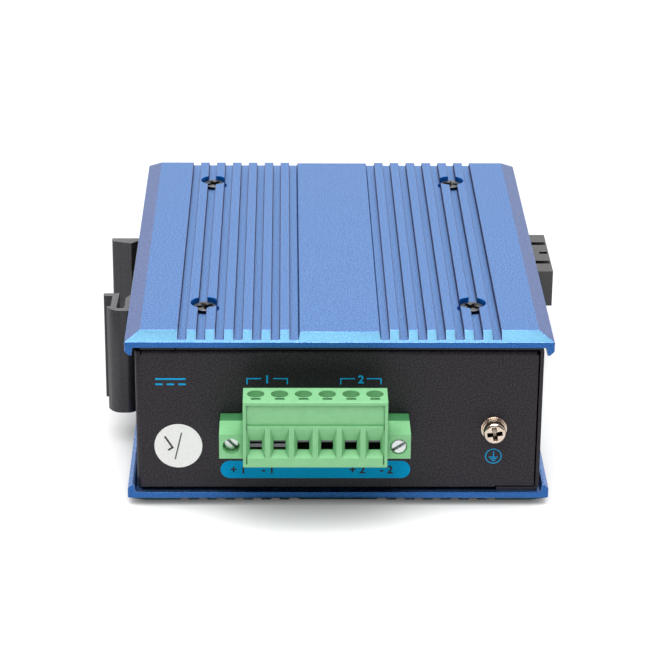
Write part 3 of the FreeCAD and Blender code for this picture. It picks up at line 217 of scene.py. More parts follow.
# %% [markdown]
# ## Floor and light
# The studio is a sheet of white paper under the box and white walls behind it, in a room that is dim on the
# camera's side. One wide soft box hangs above and a little in front. It lights every surface that looks up,
# and the milled front chamfer of the upper cover mirrors it. The power face gets most of its light back
# from the white floor, which also gives the black coat its sheen. Under the cover's overhang that light
# fails, so the gap there stays dark.

# %% Floor
# The sheet's side is in metres. It lies a hair, in millimetres, below the face that the box rests on.
FLOOR_SIDE = 6.0
FLOOR_DROP = 0.05
floor_mesh = bpy.data.meshes.new("Floor")
floor_corners = np.array([[-1, -1, 0], [1, -1, 0], [1, 1, 0], [-1, 1, 0]]) * FLOOR_SIDE / 2
floor_corners = floor_corners + [0, 0, -FLOOR_DROP * MM]
floor_mesh.from_pydata(floor_corners.tolist(), [], [(0, 1, 2, 3)])
floor = bpy.data.objects.new("Floor", floor_mesh)
bpy.context.collection.objects.link(floor)
print("floor", FLOOR_SIDE, "m wide")

# %% Paper and shadow of the floor
# To the lens the sheet is lit from below, as on a light table. Near the box its glow is darkened by painted
# shadows, drawn from ambient occlusion: a tight contact shadow and a wide soft one. Each has a reach in
# millimetres, the openness at which it ends, and the least glow left inside.
PAINTED_SHADOWS = ((13.0, 0.7, 0.5), (30.0, 0.62, 0.15))
GLOW = 0.75
paper = mottled("White studio paper", "#EEEEEE", "#F3F3F3", size=2.0, roughness=(0.85, 0.95),
                Specular_IOR_Level=0.0)
tree = paper.node_tree
path = tree.nodes.new("ShaderNodeLightPath").outputs
shadowed_glow = 1.0
for reach, free, least in PAINTED_SHADOWS:
    openness = add(tree, "ShaderNodeAmbientOcclusion", {"Distance": reach * MM}, "AO", samples=32)
    share = add(tree, "ShaderNodeMapRange", {"Value": openness, "From Max": free, "To Min": least})
    shadowed_glow = add(tree, "ShaderNodeMath", {0: share, 1: shadowed_glow}, operation="MULTIPLY")
# The paper's colour to the lens is darkened by the same painted shadows, and real shadows of the soft box
# fall on it as well.
shaded_paper = add(tree, "ShaderNodeMix", {0: shadowed_glow, 6: linear("#000000"), 7: linear("#AAAAAA")}, 2, data_type="RGBA")
shaded_paper = add(tree, "ShaderNodeBsdfDiffuse", {"Color": shaded_paper})
shadowed_glow = add(tree, "ShaderNodeMath", {0: shadowed_glow, 1: GLOW}, operation="MULTIPLY")
shadowed_glow = add(tree, "ShaderNodeEmission", {"Strength": shadowed_glow})
lit = add(tree, "ShaderNodeAddShader", {0: shadowed_glow, 1: shaded_paper})
plain = tree.nodes["Principled BSDF"].outputs["BSDF"]
exposed = add(tree, "ShaderNodeMixShader", {0: path["Is Camera Ray"], 1: plain, 2: lit})
tree.links.new(exposed, tree.nodes["Material Output"].inputs["Surface"])
floor_mesh.materials.append(paper)
print("shadows reach", [reach for reach, free, least in PAINTED_SHADOWS], "mm")

# %% White walls
# Mirrors and the lens see white walls behind the box. They fade to the dim room as the look turns forward,
# between two values of its Y.
DARK_ROOM = 0.1
FADE_FRONT, FADE_BACK = -0.3, 0.2
world = bpy.data.worlds.new("Studio")
world.use_nodes = True
bpy.context.scene.world = world
tree = world.node_tree
path = tree.nodes.new("ShaderNodeLightPath").outputs
seen = add(tree, "ShaderNodeMath", {0: path["Is Camera Ray"], 1: path["Is Glossy Ray"]}, operation="MAXIMUM")
seen = add(tree, "ShaderNodeMath", {0: seen, 1: path["Is Transmission Ray"]}, operation="MAXIMUM")
ahead = add(tree, "ShaderNodeTexCoord", out="Generated")
ahead = add(tree, "ShaderNodeSeparateXYZ", {0: ahead}, "Y")
sweep = {"Value": ahead, "From Min": FADE_FRONT, "From Max": FADE_BACK, "To Min": DARK_ROOM}
sweep = add(tree, "ShaderNodeMapRange", sweep)
walls = tree.nodes["Background"].inputs
walls["Color"].default_value = (1, 1, 1, 1)
tree.links.new(add(tree, "ShaderNodeMix", {0: seen, 2: DARK_ROOM, 3: sweep}), walls["Strength"])
print("walls give", DARK_ROOM, "of white as fill")

# %% Soft box
# A square box, in metres and watts, that looks at the middle of the object.
BOX_SPOT = Vector((-0.05, -0.3, 1.0))
BOX_AIM = Vector((0, 0, 0.02))
BOX_SIDE = 1.0
BOX_WATTS = 15.0
lamp = bpy.data.lights.new("High soft box", "AREA")
lamp.size = BOX_SIDE
lamp.energy = BOX_WATTS
high_box = bpy.data.objects.new("High soft box", lamp)
look = (BOX_AIM - BOX_SPOT).to_track_quat("-Z", "Y").to_matrix().to_4x4()
high_box.matrix_world = Matrix.Translation(BOX_SPOT) @ look
bpy.context.collection.objects.link(high_box)
print(high_box.name, lamp.energy, "W")

# %% [markdown]
# ## Blue covers
# Each cover is one aluminium extrusion: grooved along its length, blasted to a fine matt grain, dyed blue
# in the anodising bath. Its ends were milled after the blasting, so the end chamfers took a paler dye and
# flash under the soft box, while the sawn end faces took it deeper. Materials given face by face would do,
# but would be lost whenever the CAD is built again. So one finish tells the faces apart by the way they
# look and by where they lie.

# %% Which way a cover face looks
# The normal of a face points across or along the cover by a share that tells its kind. Each kind has that
# share, and how near to it a face must come.
END_LEAN = 0.571
SIDE_LEAN = 0.496
blue, tree, inputs = new_finish("Anodised aluminium, blasted, dyed blue and milled at the ends", Metallic=1.0)
facing = add(tree, "ShaderNodeNewGeometry", out="True Normal")
facing = add(tree, "ShaderNodeVectorMath", {0: facing}, operation="ABSOLUTE")
across = add(tree, "ShaderNodeSeparateXYZ", {0: facing}, "X")
along = add(tree, "ShaderNodeSeparateXYZ", {0: facing}, "Y")
masks = {}
for face, way, lean, spread in (("milled", along, END_LEAN, 0.12), ("sawn", along, 1.0, 0.1),
                                ("side", across, SIDE_LEAN, 0.12), ("wall", across, 1.0, 0.12)):
    masks[face] = add(tree, "ShaderNodeMath", {0: way, 1: lean, 2: spread}, operation="COMPARE")
print("faces told apart by their lean:", list(masks))

# %% Where a cover face lies
# Groove walls lie inside the cover's outer rim. A screw seat is all that lies near the axis of a cover
# screw: the four screws mirror each other, so one distance, taken without signs, serves for all.
RIM = 2.0
SEAT_RADIUS = 3.2
COVER_HEAD = 2.6
half_width = span("top_cover")[1][0]
spot = add(tree, "ShaderNodeTexCoord", out="Object")
sideways = add(tree, "ShaderNodeSeparateXYZ", {0: spot}, "X")
sideways = add(tree, "ShaderNodeMath", {0: sideways}, operation="ABSOLUTE")
# The painted shade of the groove walls stops at the outer rim.
inward = add(tree, "ShaderNodeMath", {0: sideways, 1: (half_width - RIM) * MM}, operation="LESS_THAN")
masks["wall"] = add(tree, "ShaderNodeMath", {0: masks["wall"], 1: inward}, operation="MULTIPLY")
screws_low, screws_high = span("top_cover_screws")
screw_middle = (screws_low + screws_high) / 2
screw_spread = (screws_high - screws_low) / 2 - COVER_HEAD
spot = add(tree, "ShaderNodeVectorMath", {0: spot, 1: screw_middle * MM}, operation="SUBTRACT")
spot = add(tree, "ShaderNodeVectorMath", {0: spot}, operation="ABSOLUTE")
spot = add(tree, "ShaderNodeVectorMath", {0: spot, 1: screw_spread * MM}, operation="SUBTRACT")
spot = add(tree, "ShaderNodeVectorMath", {0: spot, 1: (1, 1, 0)}, operation="MULTIPLY")
from_screw = add(tree, "ShaderNodeVectorMath", {0: spot}, "Value", operation="LENGTH")
masks["seat"] = add(tree, "ShaderNodeMath", {0: from_screw, 1: SEAT_RADIUS * MM}, operation="LESS_THAN")
print("faces told apart:", list(masks))

# %% Blue covers
# Blasting scatters the light into an even pale blue. The milled chamfers mirror the soft box and turn cyan,
# and the side chamfers keep the grey skin of the extrusion. The groove walls are painted a dark navy, a
# painted shade for the shadow inside the grooves. The screw seats were drilled before the bath and took the
# dye deeply. The blasting grit is 0.1 mm. It is drawn at 0.3 mm, so that it shows. The blasted skin comes
# first, and every other kind of face is laid over it.
GRIT = 0.3
PITS = 0.22
PIT_DEPTH = 0.004
BLASTED_ROUGHNESS, MILLED_ROUGHNESS = 0.42, 0.5
sparkle = blots(tree, GRIT, detail=3.0)
for face, dark, light in (("blasted", "#2F5EA2", "#8CB9F6"), ("milled", "#4C7890", "#608CA6"),
                          ("sawn", "#2658A0", "#4A80C6"), ("side", "#5A6EA0", "#8496C8"),
                          ("wall", "#16294F", "#1F355F"), ("seat", "#1C6CBC", "#2A80D2")):
    tint = add(tree, "ShaderNodeMix", {0: sparkle, 6: linear(dark), 7: linear(light)}, 2, data_type="RGBA")
    if face in masks:
        tint = add(tree, "ShaderNodeMix", {0: masks[face], 6: shade, 7: tint}, 2, data_type="RGBA")
    shade = tint
tree.links.new(shade, inputs["Base Color"])
rough = add(tree, "ShaderNodeMix", {0: masks["milled"], 2: BLASTED_ROUGHNESS, 3: MILLED_ROUGHNESS})
tree.links.new(rough, inputs["Roughness"])
relief = {"Height": blots(tree, PITS), "Distance": PIT_DEPTH * MM, "Strength": 1.0}
tree.links.new(add(tree, "ShaderNodeBump", relief), inputs["Normal"])
dress(blue, "top_cover", "bottom_cover")
break_edges(0.2, "top_cover", "bottom_cover")
print("covers:", [len(nodes[name].data.polygons) for name in ("top_cover", "bottom_cover")], "triangles")

# %% [markdown]
# ## Black housing
# Pan and shell are 0.8 mm steel sheet, folded on a press brake and powder coated in a fine satin black. The
# powder melts into shallow orange peel: a soft grey sheen where it mirrors the bright floor, deep black
# elsewhere. The CAD sheet has its bends already. A fine bevel rounds the cut edges, where powder can't hold
# a sharp one, and bump draws the peel, which is too shallow to be worth modelling.

# %% Black housing
# Orange peel about half a millimetre wide breaks the sheen up a little.
black_coat = mottled("Satin black powder coat on folded steel", "#161218", "#3A353C", size=0.4,
                     roughness=(0.4, 0.5), grit=0.45, depth=0.004, Specular_IOR_Level=0.3)
dress(black_coat, "chassis_pan", "port_shell")
break_edges(0.12, "chassis_pan", "port_shell")
print("coated:", black_coat.name)

# %% [markdown]
# ## Rail clip
# The clip is a springy aluminium extrusion, black anodised as a long bar and sawn to length afterwards. The
# saw leaves its two end faces bare grey, which is how the profile shows so clearly from the cover's side.
# Skin and ends are one solid, so one material holds both finishes and a mask on the normal parts them.

# %% Rail clip
# A light blast gives the skin a fine grain, drawn out a little along the bar. The bare ends show saw marks
# and the grey of metal under its thin oxide. A face that looks squarely up or down is a sawn end.
SQUARE = 0.9
SKIN_GRAIN, SAW_MARK = 0.3, 0.15
GRAIN_DEPTH = 0.002
SKIN_ROUGHNESS, BARE_ROUGHNESS = 0.42, 0.38
BARE_METAL = 0.6
clip_black, tree, inputs = new_finish("Black anodised extrusion with bare sawn ends", Specular_IOR_Level=0.75)
facing = add(tree, "ShaderNodeNewGeometry", out="True Normal")
facing_up = add(tree, "ShaderNodeSeparateXYZ", {0: facing}, "Z")
facing_up = add(tree, "ShaderNodeMath", {0: facing_up}, operation="ABSOLUTE")
sawn = add(tree, "ShaderNodeMath", {0: facing_up, 1: SQUARE}, operation="GREATER_THAN")
grain = blots(tree, SKIN_GRAIN, stretch=(1, 1, 2))
mark = blots(tree, SAW_MARK, stretch=(8, 1, 1))
skin = add(tree, "ShaderNodeMix", {0: grain, 6: linear("#18151A"), 7: linear("#36333A")}, 2, data_type="RGBA")
bare = add(tree, "ShaderNodeMix", {0: mark, 6: linear("#5C5B5E"), 7: linear("#7A797C")}, 2, data_type="RGBA")
shade = add(tree, "ShaderNodeMix", {0: sawn, 6: skin, 7: bare}, 2, data_type="RGBA")
tree.links.new(shade, inputs["Base Color"])
rough = add(tree, "ShaderNodeMix", {0: sawn, 2: SKIN_ROUGHNESS, 3: BARE_ROUGHNESS})
tree.links.new(rough, inputs["Roughness"])
tree.links.new(add(tree, "ShaderNodeMix", {0: sawn, 2: 0.0, 3: BARE_METAL}), inputs["Metallic"])
relief = {"Height": grain, "Distance": GRAIN_DEPTH * MM, "Strength": 1.0}
tree.links.new(add(tree, "ShaderNodeBump", relief), inputs["Normal"])
dress(clip_black, "rail_clip")
break_edges(0.1, "rail_clip")
print("clip:", len(nodes["rail_clip"].data.polygons), "triangles")

# %% [markdown]
# ## Terminal plug and header
# Both are moulded in green polyamide. The plug's grade is pale and filled, so its wells stay green where they
# throw light on each other, and painted shade darkens them towards a deeper green. The header behind it is
# painted a deeper green, as shade for its place behind the plug. A mould's edges are crisp, so the plug keeps
# them as the CAD has them, and only the header's, which catch the light, are broken.

# %% Terminal plug and header
# A spark-eroded mould leaves a very fine matt that spreads the light evenly. Painted shade darkens the plug's
# deep wells towards a deeper green. The header's green is the plug's green darkened as painted shade, with
# the smoother matt of a polished mould.
pale_green = mottled("Pale green polyamide, spark-eroded mould", "#8CD295", "#94D89C", size=1.5,
                     roughness=(0.4, 0.48), grit=0.18, depth=0.002, shade_reach=2.0, grime="#66AC74")
dress(pale_green, "terminal_plug")
# The header's deeper green is a painted shade.
shaded_header_green = mottled("Green polyamide, polished mould, darkened as painted shade", "#468C56", "#4C925C", size=1.5,
                     roughness=(0.36, 0.44), depth=0.002)
dress(shaded_header_green, "terminal_header")
break_edges(0.06, "terminal_header")
print("plug:", len(nodes["terminal_plug"].data.polygons), "triangles")

# %% [markdown]
# ## Cross-head screws
# A cross-head screw is turned or cold-headed, and its recess is punched in. The surface below does the
# same: a lathe profile is carried round the axis, and its innermost rings follow the outline of a cross,
# sink and shrink. A boolean cut would leave long thin triangles; one grid keeps clean edges.

# %% Cross outline
# Length of an arm of the driver's cross from the axis, and half the width of its bars.
CROSS_ARM = 1.95
CROSS_HALF = 0.6


def cross_radius(angle, arm, half):
    """Distance from the axis to the outline of an upright cross: the longer of its two bars at each angle."""
    cosine = np.maximum(np.abs(np.cos(angle)), 1e-6)
    sine = np.maximum(np.abs(np.sin(angle)), 1e-6)
    return np.maximum(np.minimum(arm / cosine, half / sine), np.minimum(half / cosine, arm / sine))


def cross_angles(arm, half):
    """Angles round the axis that hold every corner of the cross and the middles between them."""
    corner = math.atan2(half, arm)
    eighth = np.array([0, corner / 2, corner, (corner + math.pi / 4) / 2, math.pi / 4])
    quarter = np.concatenate([eighth, math.pi / 2 - eighth[-2:0:-1]])
    return (quarter[None, :] + np.arange(4)[:, None] * math.pi / 2).ravel()


def grid_faces(rows, columns):
    """Four-sided faces of a grid of rows by columns whose last column meets the first."""
    row, column = np.mgrid[0:rows - 1, 0:columns]
    following = (column + 1) % columns
    faces = np.stack([row * columns + column, row * columns + following,
                      (row + 1) * columns + following, (row + 1) * columns + column], axis=-1)
    return faces.reshape(-1, 4)


print("a cross has", len(cross_angles(CROSS_ARM, CROSS_HALF)), "rays")

# %% Screw surface
def cross_head(profile, top, arm, half, depth):
    """Screw about Z: the rings of its profile (radius, height), then the recess, as corner and face arrays.

    The point at angle a on a ring is (r cos a, r sin a, z). A profile ring has one r. A recess ring takes r
    from the outline of the cross, full size at the top, then smaller and lower, and the last one closes on
    the axis.
    """
    angle = cross_angles(arm, half)
    rings = np.array(profile)
    # Four recess rings: the rim, the foot of its bevel, the floor's edge and the axis.
    shrink = np.array([1.0, 0.94, 0.62, 0.0])
    sink = np.array([0.0, 0.12, 0.92, 1.0]) * depth
    radius = np.vstack([rings[:, :1] + 0 * angle, shrink[:, None] * cross_radius(angle, arm, half)])
    height = np.concatenate([rings[:, 1], top - sink])[:, None] + 0 * angle
    corners = np.stack([radius * np.cos(angle), radius * np.sin(angle), height], axis=-1)
    return corners.reshape(-1, 3), grid_faces(*radius.shape)


def spin(corners, degrees):
    """Turn corners about Z."""
    turn = math.radians(degrees)
    cosine, sine = math.cos(turn), math.sin(turn)
    return corners @ np.array([[cosine, sine, 0], [-sine, cosine, 0], [0, 0, 1]])


print("recess rings follow the cross, its arms", CROSS_ARM, "mm long")

# %% Pieces from surfaces
# Poles closer than the first value, in millimetres, are joined. Edges past the second, in degrees, stay
# crisp.
SAME_POLE = 0.0005
CRISP_ANGLE = 40


def piece(name, parts, material):
    """One piece from pairs of corners, in millimetres, and faces: poles joined, faces turned outward."""
    starts = np.cumsum([0] + [len(corners) for corners, faces in parts])
    corners = np.vstack([corners for corners, faces in parts]) * MM
    faces = np.vstack([faces + start for (_, faces), start in zip(parts, starts)])
    mesh = bpy.data.meshes.new(name)
    mesh.from_pydata(corners.tolist(), [], faces.tolist())
    shape = bmesh.new()
    shape.from_mesh(mesh)
    bmesh.ops.remove_doubles(shape, verts=shape.verts, dist=SAME_POLE * MM)
    bmesh.ops.recalc_face_normals(shape, faces=shape.faces)
    shape.to_mesh(mesh)
    shape.free()
    mesh.shade_smooth()
    mesh.set_sharp_from_angle(angle=math.radians(CRISP_ANGLE))
    mesh.materials.append(material)
    item = bpy.data.objects.new(name, mesh)
    bpy.context.collection.objects.link(item)
    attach(item, "converter")
    return item


print("edges past", CRISP_ANGLE, "degrees stay crisp")

# %% Cover screws
# Black zinc worn to grey makes the heads a dull gunmetal all over. Painted shade darkens their cross recesses
# and the sides that sit in the seats, so that only the crowns look grey.
dark_steel = mottled("Black zinc on cold-headed steel", "#5C5A5A", "#7A7877", size=0.5,
                     roughness=(0.28, 0.4), shade_reach=2.0, Metallic=1.0)
# Heights count down from the flat face. A cone joins shank and rim, the outer edge is broken, and two rings
# on the face bring the grid near the cross. Each head stops at a turn of its own.
SHANK = 1.5
SHANK_LENGTH = 6.4
CONE_FOOT, CONE_TOP = 1.35, 0.25
HEAD_BREAK = 0.07
CROSS_DEPTH = 1.4
FACE_RINGS = [(2.2, 0), (2.07, 0)]
COVER_SCREW = [(0, -SHANK_LENGTH), (SHANK, -SHANK_LENGTH), (SHANK, -CONE_FOOT), (COVER_HEAD, -CONE_TOP),
               (COVER_HEAD, -HEAD_BREAK), (COVER_HEAD - HEAD_BREAK, 0), *FACE_RINGS]
head, head_faces = cross_head(COVER_SCREW, 0.0, CROSS_ARM, CROSS_HALF, CROSS_DEPTH)
head_up = screws_high[2]
head_down = span("bottom_cover_screws")[0][2]
upper = []
lower = []
for side, end, degrees in ((-1, -1, 20), (1, -1, 55), (-1, 1, 35), (1, 1, 70)):
    x, y, _ = screw_middle + screw_spread * [side, end, 0]
    spun = spin(head, degrees)
    upper.append((spun + [x, y, head_up], head_faces))
    lower.append((spun * [1, -1, -1] + [x, y, head_down], head_faces))
upper_screws = piece("cover_screws_upper", upper, dark_steel)
lower_screws = piece("cover_screws_lower", lower, dark_steel)
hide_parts("top_cover_screws")
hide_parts("bottom_cover_screws")
print("cover screws:", len(upper_screws.data.polygons), "faces for four")

# %% Rail clip screws
# The same black screws, countersunk from outside, hold the rail clip to the pan's back wall.
CLIP_HEAD = 2.75
CLIP_CONE = 1.4
CLIP_SCREW = [(0, -SHANK_LENGTH), (SHANK, -SHANK_LENGTH), (SHANK, -CLIP_CONE), (CLIP_HEAD, 0), *FACE_RINGS]
head, head_faces = cross_head(CLIP_SCREW, 0.0, CROSS_ARM, CROSS_HALF, CROSS_DEPTH)
clip_low, clip_high = span("rail_clip_screws")
_, clip_y, clip_z = (clip_low + clip_high) / 2
apart = (clip_high - clip_low)[1] / 2 - CLIP_HEAD
outward = []
for side, degrees in ((-1, 15), (1, 50)):
    turned = spin(head, degrees)[:, [2, 1, 0]] * [-1, 1, 1]
    outward.append((turned + [clip_low[0], clip_y + side * apart, clip_z], head_faces))
clip_screws = piece("rail_clip_screw_heads", outward, dark_steel)
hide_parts("rail_clip_screws")
print("clip screws:", len(clip_screws.data.polygons), "faces for two")

# %% [markdown]
# ## Earth screw
# The earth screw is a bright nickel pan head with a spring washer and a flat washer. Its rounded head
# stands proud, where the cover screws lie sunk in their seats, and its recess is a little turned, as the
# last twist of the driver left it. It comes from the same surface as those, with a profile of its own.

# %% Earth screw
# Nickel is a warm mirror, softened by barrel plating.
nickel = mottled("Barrel-plated bright nickel", "#E0CDBB", "#EEDDCC", size=0.8, roughness=(0.14, 0.22),
                 Metallic=1.0)
# The head's cross recess is darkened by painted shade, in a warm dark brown.
nickel_shaded_recess = mottled("Bright nickel, recess darkened by painted shade", "#E0CDBB", "#EEDDCC", size=0.8,
                        roughness=(0.14, 0.22), shade_reach=1.5, grime="#3A2E26", Metallic=1.0)
# Sizes are in millimetres, and the recess is turned by degrees.
EARTH_HEAD = 2.45
EARTH_HEIGHT = 2.0
EARTH_ROUND = 0.65
EARTH_LENGTH = 5.0
EARTH_ARM = 1.7
EARTH_HALF = 0.52
EARTH_TURN = 8
earth_low, earth_high = span("earth_screw")
earth_middle = (earth_low + earth_high) / 2
bend = np.linspace(0, math.pi / 2, 8)[:, None]
crown_radius = EARTH_HEAD - EARTH_ROUND * (1 - np.cos(bend))
crown_height = EARTH_HEIGHT - EARTH_ROUND * (1 - np.sin(bend))
crown = np.hstack([crown_radius, crown_height])
profile = [(0, -EARTH_LENGTH), (SHANK, -EARTH_LENGTH), (SHANK, 0), (EARTH_HEAD, 0), *crown.tolist()]
corners, faces = cross_head(profile, EARTH_HEIGHT, EARTH_ARM, EARTH_HALF, CROSS_DEPTH)
earth_seat = [earth_middle[0], earth_low[1] + EARTH_HEIGHT, earth_middle[2]]
facing_front = spin(corners, EARTH_TURN)[:, [0, 2, 1]] * [1, -1, 1] + earth_seat
earth_head = piece("earth_screw_head", [(facing_front, faces)], nickel_shaded_recess)
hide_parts("earth_screw")
dress(nickel, "earth_flat_washer", "earth_spring_washer", "earth_nut")
break_edges(0.08, "earth_flat_washer", "earth_spring_washer")
print("earth screw:", len(earth_head.data.polygons), "faces")

# %% [markdown]
# ## Slotted screws and clamps of the plug
# Steel screws with a milled slot, zinc plated and clear passivated: bright, faintly blue. Painted shade
# darkens their slots. The clamp cages are tin plated brass and look like grey satin inside their dark wells,
# and the tin is painted darker than bright tin, as shade for those wells. Slots and wells are in the CAD
# solids, so these pieces need only a finish and, on the screws, a fine broken edge that glints.

# %% Slotted screws and clamps
# Clear zinc is a cool grey mirror with soft patches, with painted shade in its slots and recesses. Tin is
# duller and even, and painted dark as shade.
zinc = mottled("Clear passivated zinc on turned steel", "#D8DADC", "#E8EAEC", size=0.6,
               roughness=(0.2, 0.32), shade_reach=0.5, Metallic=1.0)
# The tin is painted darker than bright tin, as shade for the cages in their wells.
shaded_tin = mottled("Tin plate on stamped brass, darkened as painted shade", "#626366", "#797A7D", size=0.5, roughness=(0.3, 0.42),
              Metallic=1.0)
clamp_screws = [f"clamp_screw_{way}" for way in range(1, 7)]
clamp_cages = [f"clamp_cage_{way}" for way in range(1, 7)]
dress(zinc, "flange_screws", *clamp_screws)
break_edges(0.06, "flange_screws", *clamp_screws)
dress(shaded_tin, "terminal_contacts", "header_pins", "transceiver_leads", *clamp_cages)
print("clamps:", len(clamp_screws), "screws and", len(clamp_cages), "cages")

# %% [markdown]
# ## Print on the power face
# The marks are screen printed in blue ink, a film a few hundredths of a millimetre thick. Each mark is a
# flat piece lying just proud of the coat: brackets that join pairs of terminals, a strip under the plug
# with polarity signs, the sign for direct current, and the earth sign below its screw. The numbers are
# plain 1 and 2. A mask in the coat's material could draw them too, but a piece of its own keeps its edge
# crisp from near by and goes along in an export.

# %% Flat marks
PANEL = span("chassis_pan")[0][1]
INK = 0.03


def flat_on_panel(name, outlines, material, proud=INK):
    """Flat marks on the power face. An outline is an array of (x, z) corners, anticlockwise as seen."""
    mesh = bpy.data.meshes.new(name)
    corners = np.vstack(outlines)
    starts = np.cumsum([0] + [len(outline) for outline in outlines])
    faces = [list(range(first, after)) for first, after in zip(starts[:-1], starts[1:])]
    spots = np.stack([corners[:, 0], np.full(len(corners), PANEL - proud), corners[:, 1]], axis=-1) * MM
    mesh.from_pydata(spots.tolist(), [], faces)
    mesh.materials.append(material)
    item = bpy.data.objects.new(name, mesh)
    bpy.context.collection.objects.link(item)
    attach(item, "converter")
    return item


print("power face at y =", round(PANEL, 2), "mm")

# %% Outlines of marks
def oblong(x0, x1, z0, z1):
    """Upright oblong between two values of x and two of z."""
    return np.array([[x0, z0], [x1, z0], [x1, z1], [x0, z1]])


def capsule(x0, x1, z0, z1, steps=24):
    """Oblong with round ends: two half circles, their radius half the height, joined by straight sides."""
    radius = (z1 - z0) / 2
    angle = np.linspace(-math.pi / 2, math.pi / 2, steps)
    outward, upward = radius * np.cos(angle), radius * np.sin(angle)
    right_end = np.stack([x1 - radius + outward, z0 + radius + upward], axis=-1)
    left_end = np.stack([x0 + radius - outward, z0 + radius - upward], axis=-1)
    return np.vstack([right_end, left_end])


def ring(x, z, inner, outer, steps=48):
    """Ring between two radii, as four-sided patches round the circle."""
    angle = np.linspace(0, 2 * math.pi, steps + 1)
    near = np.stack([x + inner * np.cos(angle), z + inner * np.sin(angle)], axis=-1)
    far = np.stack([x + outer * np.cos(angle), z + outer * np.sin(angle)], axis=-1)
    patches = np.stack([near[:-1], far[:-1], far[1:], near[1:]], axis=1)
    return list(patches)


print("a capsule has", len(capsule(0, 4, 0, 1)), "corners")

# %% Type
# Ink spreads on the coat, so the strokes of the type are a little fatter than drawn.
BOLD = 0.07
TYPE_SIZE = 2.6


def written(name, text, x, z, material, proud=INK):
    """Plain number or sign in the built-in type, centred on (x, z), as a mesh laid on the power face."""
    letters = bpy.data.curves.new(name, "FONT")
    letters.body = text
    letters.size = TYPE_SIZE * MM
    letters.offset = BOLD * MM
    letters.align_x = "CENTER"
    letters.align_y = "CENTER"
    stand_in = bpy.data.objects.new(f"{name}_type", letters)
    bpy.context.collection.objects.link(stand_in)
    mesh = bpy.data.meshes.new_from_object(stand_in.evaluated_get(bpy.context.evaluated_depsgraph_get()))
    bpy.data.objects.remove(stand_in)
    flat = np.empty(len(mesh.vertices) * 3)
    mesh.vertices.foreach_get("co", flat)
    flat = flat.reshape(-1, 3)
    away = np.full(len(flat), (PANEL - proud) * MM)
    spots = np.stack([flat[:, 0] + x * MM, away, flat[:, 1] + z * MM], axis=-1)
    mesh.vertices.foreach_set("co", spots.ravel())
    mesh.name = name
    mesh.materials.clear()
    mesh.materials.append(material)
    item = bpy.data.objects.new(name, mesh)
    bpy.context.collection.objects.link(item)
    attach(item, "converter")
    return item


print("type size", TYPE_SIZE, "mm")

# %% Brackets and numbers
# Screen ink is matt and opaque, so it keeps its colour on black. Each bracket joins two terminals: its left
# end, the middle of its number and its right end.
ink_blue = mottled("Bright blue screen ink", "#14A8E8", "#20B2EE", size=0.6, roughness=(0.45, 0.55),
                   Specular_IOR_Level=0.1)
STROKE = 0.27
BRACKET_TOP = 30.4
BRACKET_FOOT = 28.9
NUMBER_GAP = 1.3
NUMBER_DROP = 0.4
BRACKETS = {"1": (-20.2, -15.7, -11.2), "2": (0.15, 4.7, 9.2)}
brackets = []
for x0, middle, x1 in BRACKETS.values():
    brackets.append(oblong(x0, middle - NUMBER_GAP, BRACKET_TOP - STROKE, BRACKET_TOP))
    brackets.append(oblong(middle + NUMBER_GAP, x1, BRACKET_TOP - STROKE, BRACKET_TOP))
    brackets.append(oblong(x0, x0 + STROKE, BRACKET_FOOT, BRACKET_TOP - STROKE))
    brackets.append(oblong(x1 - STROKE, x1, BRACKET_FOOT, BRACKET_TOP - STROKE))
flat_on_panel("print_brackets", brackets, ink_blue)
for number, (_, middle, _) in BRACKETS.items():
    written(f"print_number_{number}", number, middle, BRACKET_TOP - NUMBER_DROP, ink_blue)
print("brackets:", len(BRACKETS))

# %% Sign for direct current
# A long bar stands over three short ones.
BAR_LEFT, BAR_LENGTH, BAR_FOOT = -40.0, 6.6, 29.95
DASH_LENGTH, DASH_STEP, DASH_FOOT = 1.6, 2.5, 28.7
BAR_THICK = 0.4
direct_current = [oblong(BAR_LEFT, BAR_LEFT + BAR_LENGTH, BAR_FOOT, BAR_FOOT + BAR_THICK)]
for x in BAR_LEFT + DASH_STEP * np.arange(3):
    direct_current.append(oblong(x, x + DASH_LENGTH, DASH_FOOT, DASH_FOOT + BAR_THICK))
flat_on_panel("print_direct_current", direct_current, ink_blue)
print("bars in the sign:", len(direct_current))

# %% Strip and polarity signs
# The strip's left and right ends, its foot and its top. The signs are a second layer of ink on it.
strip_blue = mottled("Deep blue screen ink", "#00A0DC", "#04A8E4", size=0.8, roughness=(0.42, 0.52),
                     Specular_IOR_Level=0.05)
ink_dark = mottled("Black screen ink", "#141416", "#1C1C1E", size=0.6, roughness=(0.45, 0.55),
                   Specular_IOR_Level=0.4)
STRIP = (-26.0, 15.85, 6.2, 10.45)
SIGNS = ((-22.1, "+ 1"), (-15.5, "- 1"), (4.1, "+ 2"), (10.55, "- 2"))
SIGN_HEIGHT = 8.2
flat_on_panel("print_strip", [capsule(*STRIP)], strip_blue)
for number, (x, sign) in enumerate(SIGNS, 1):
    written(f"print_polarity_{number}", sign, x, SIGN_HEIGHT, ink_dark, 2 * INK)
print("polarity signs:", len(SIGNS))

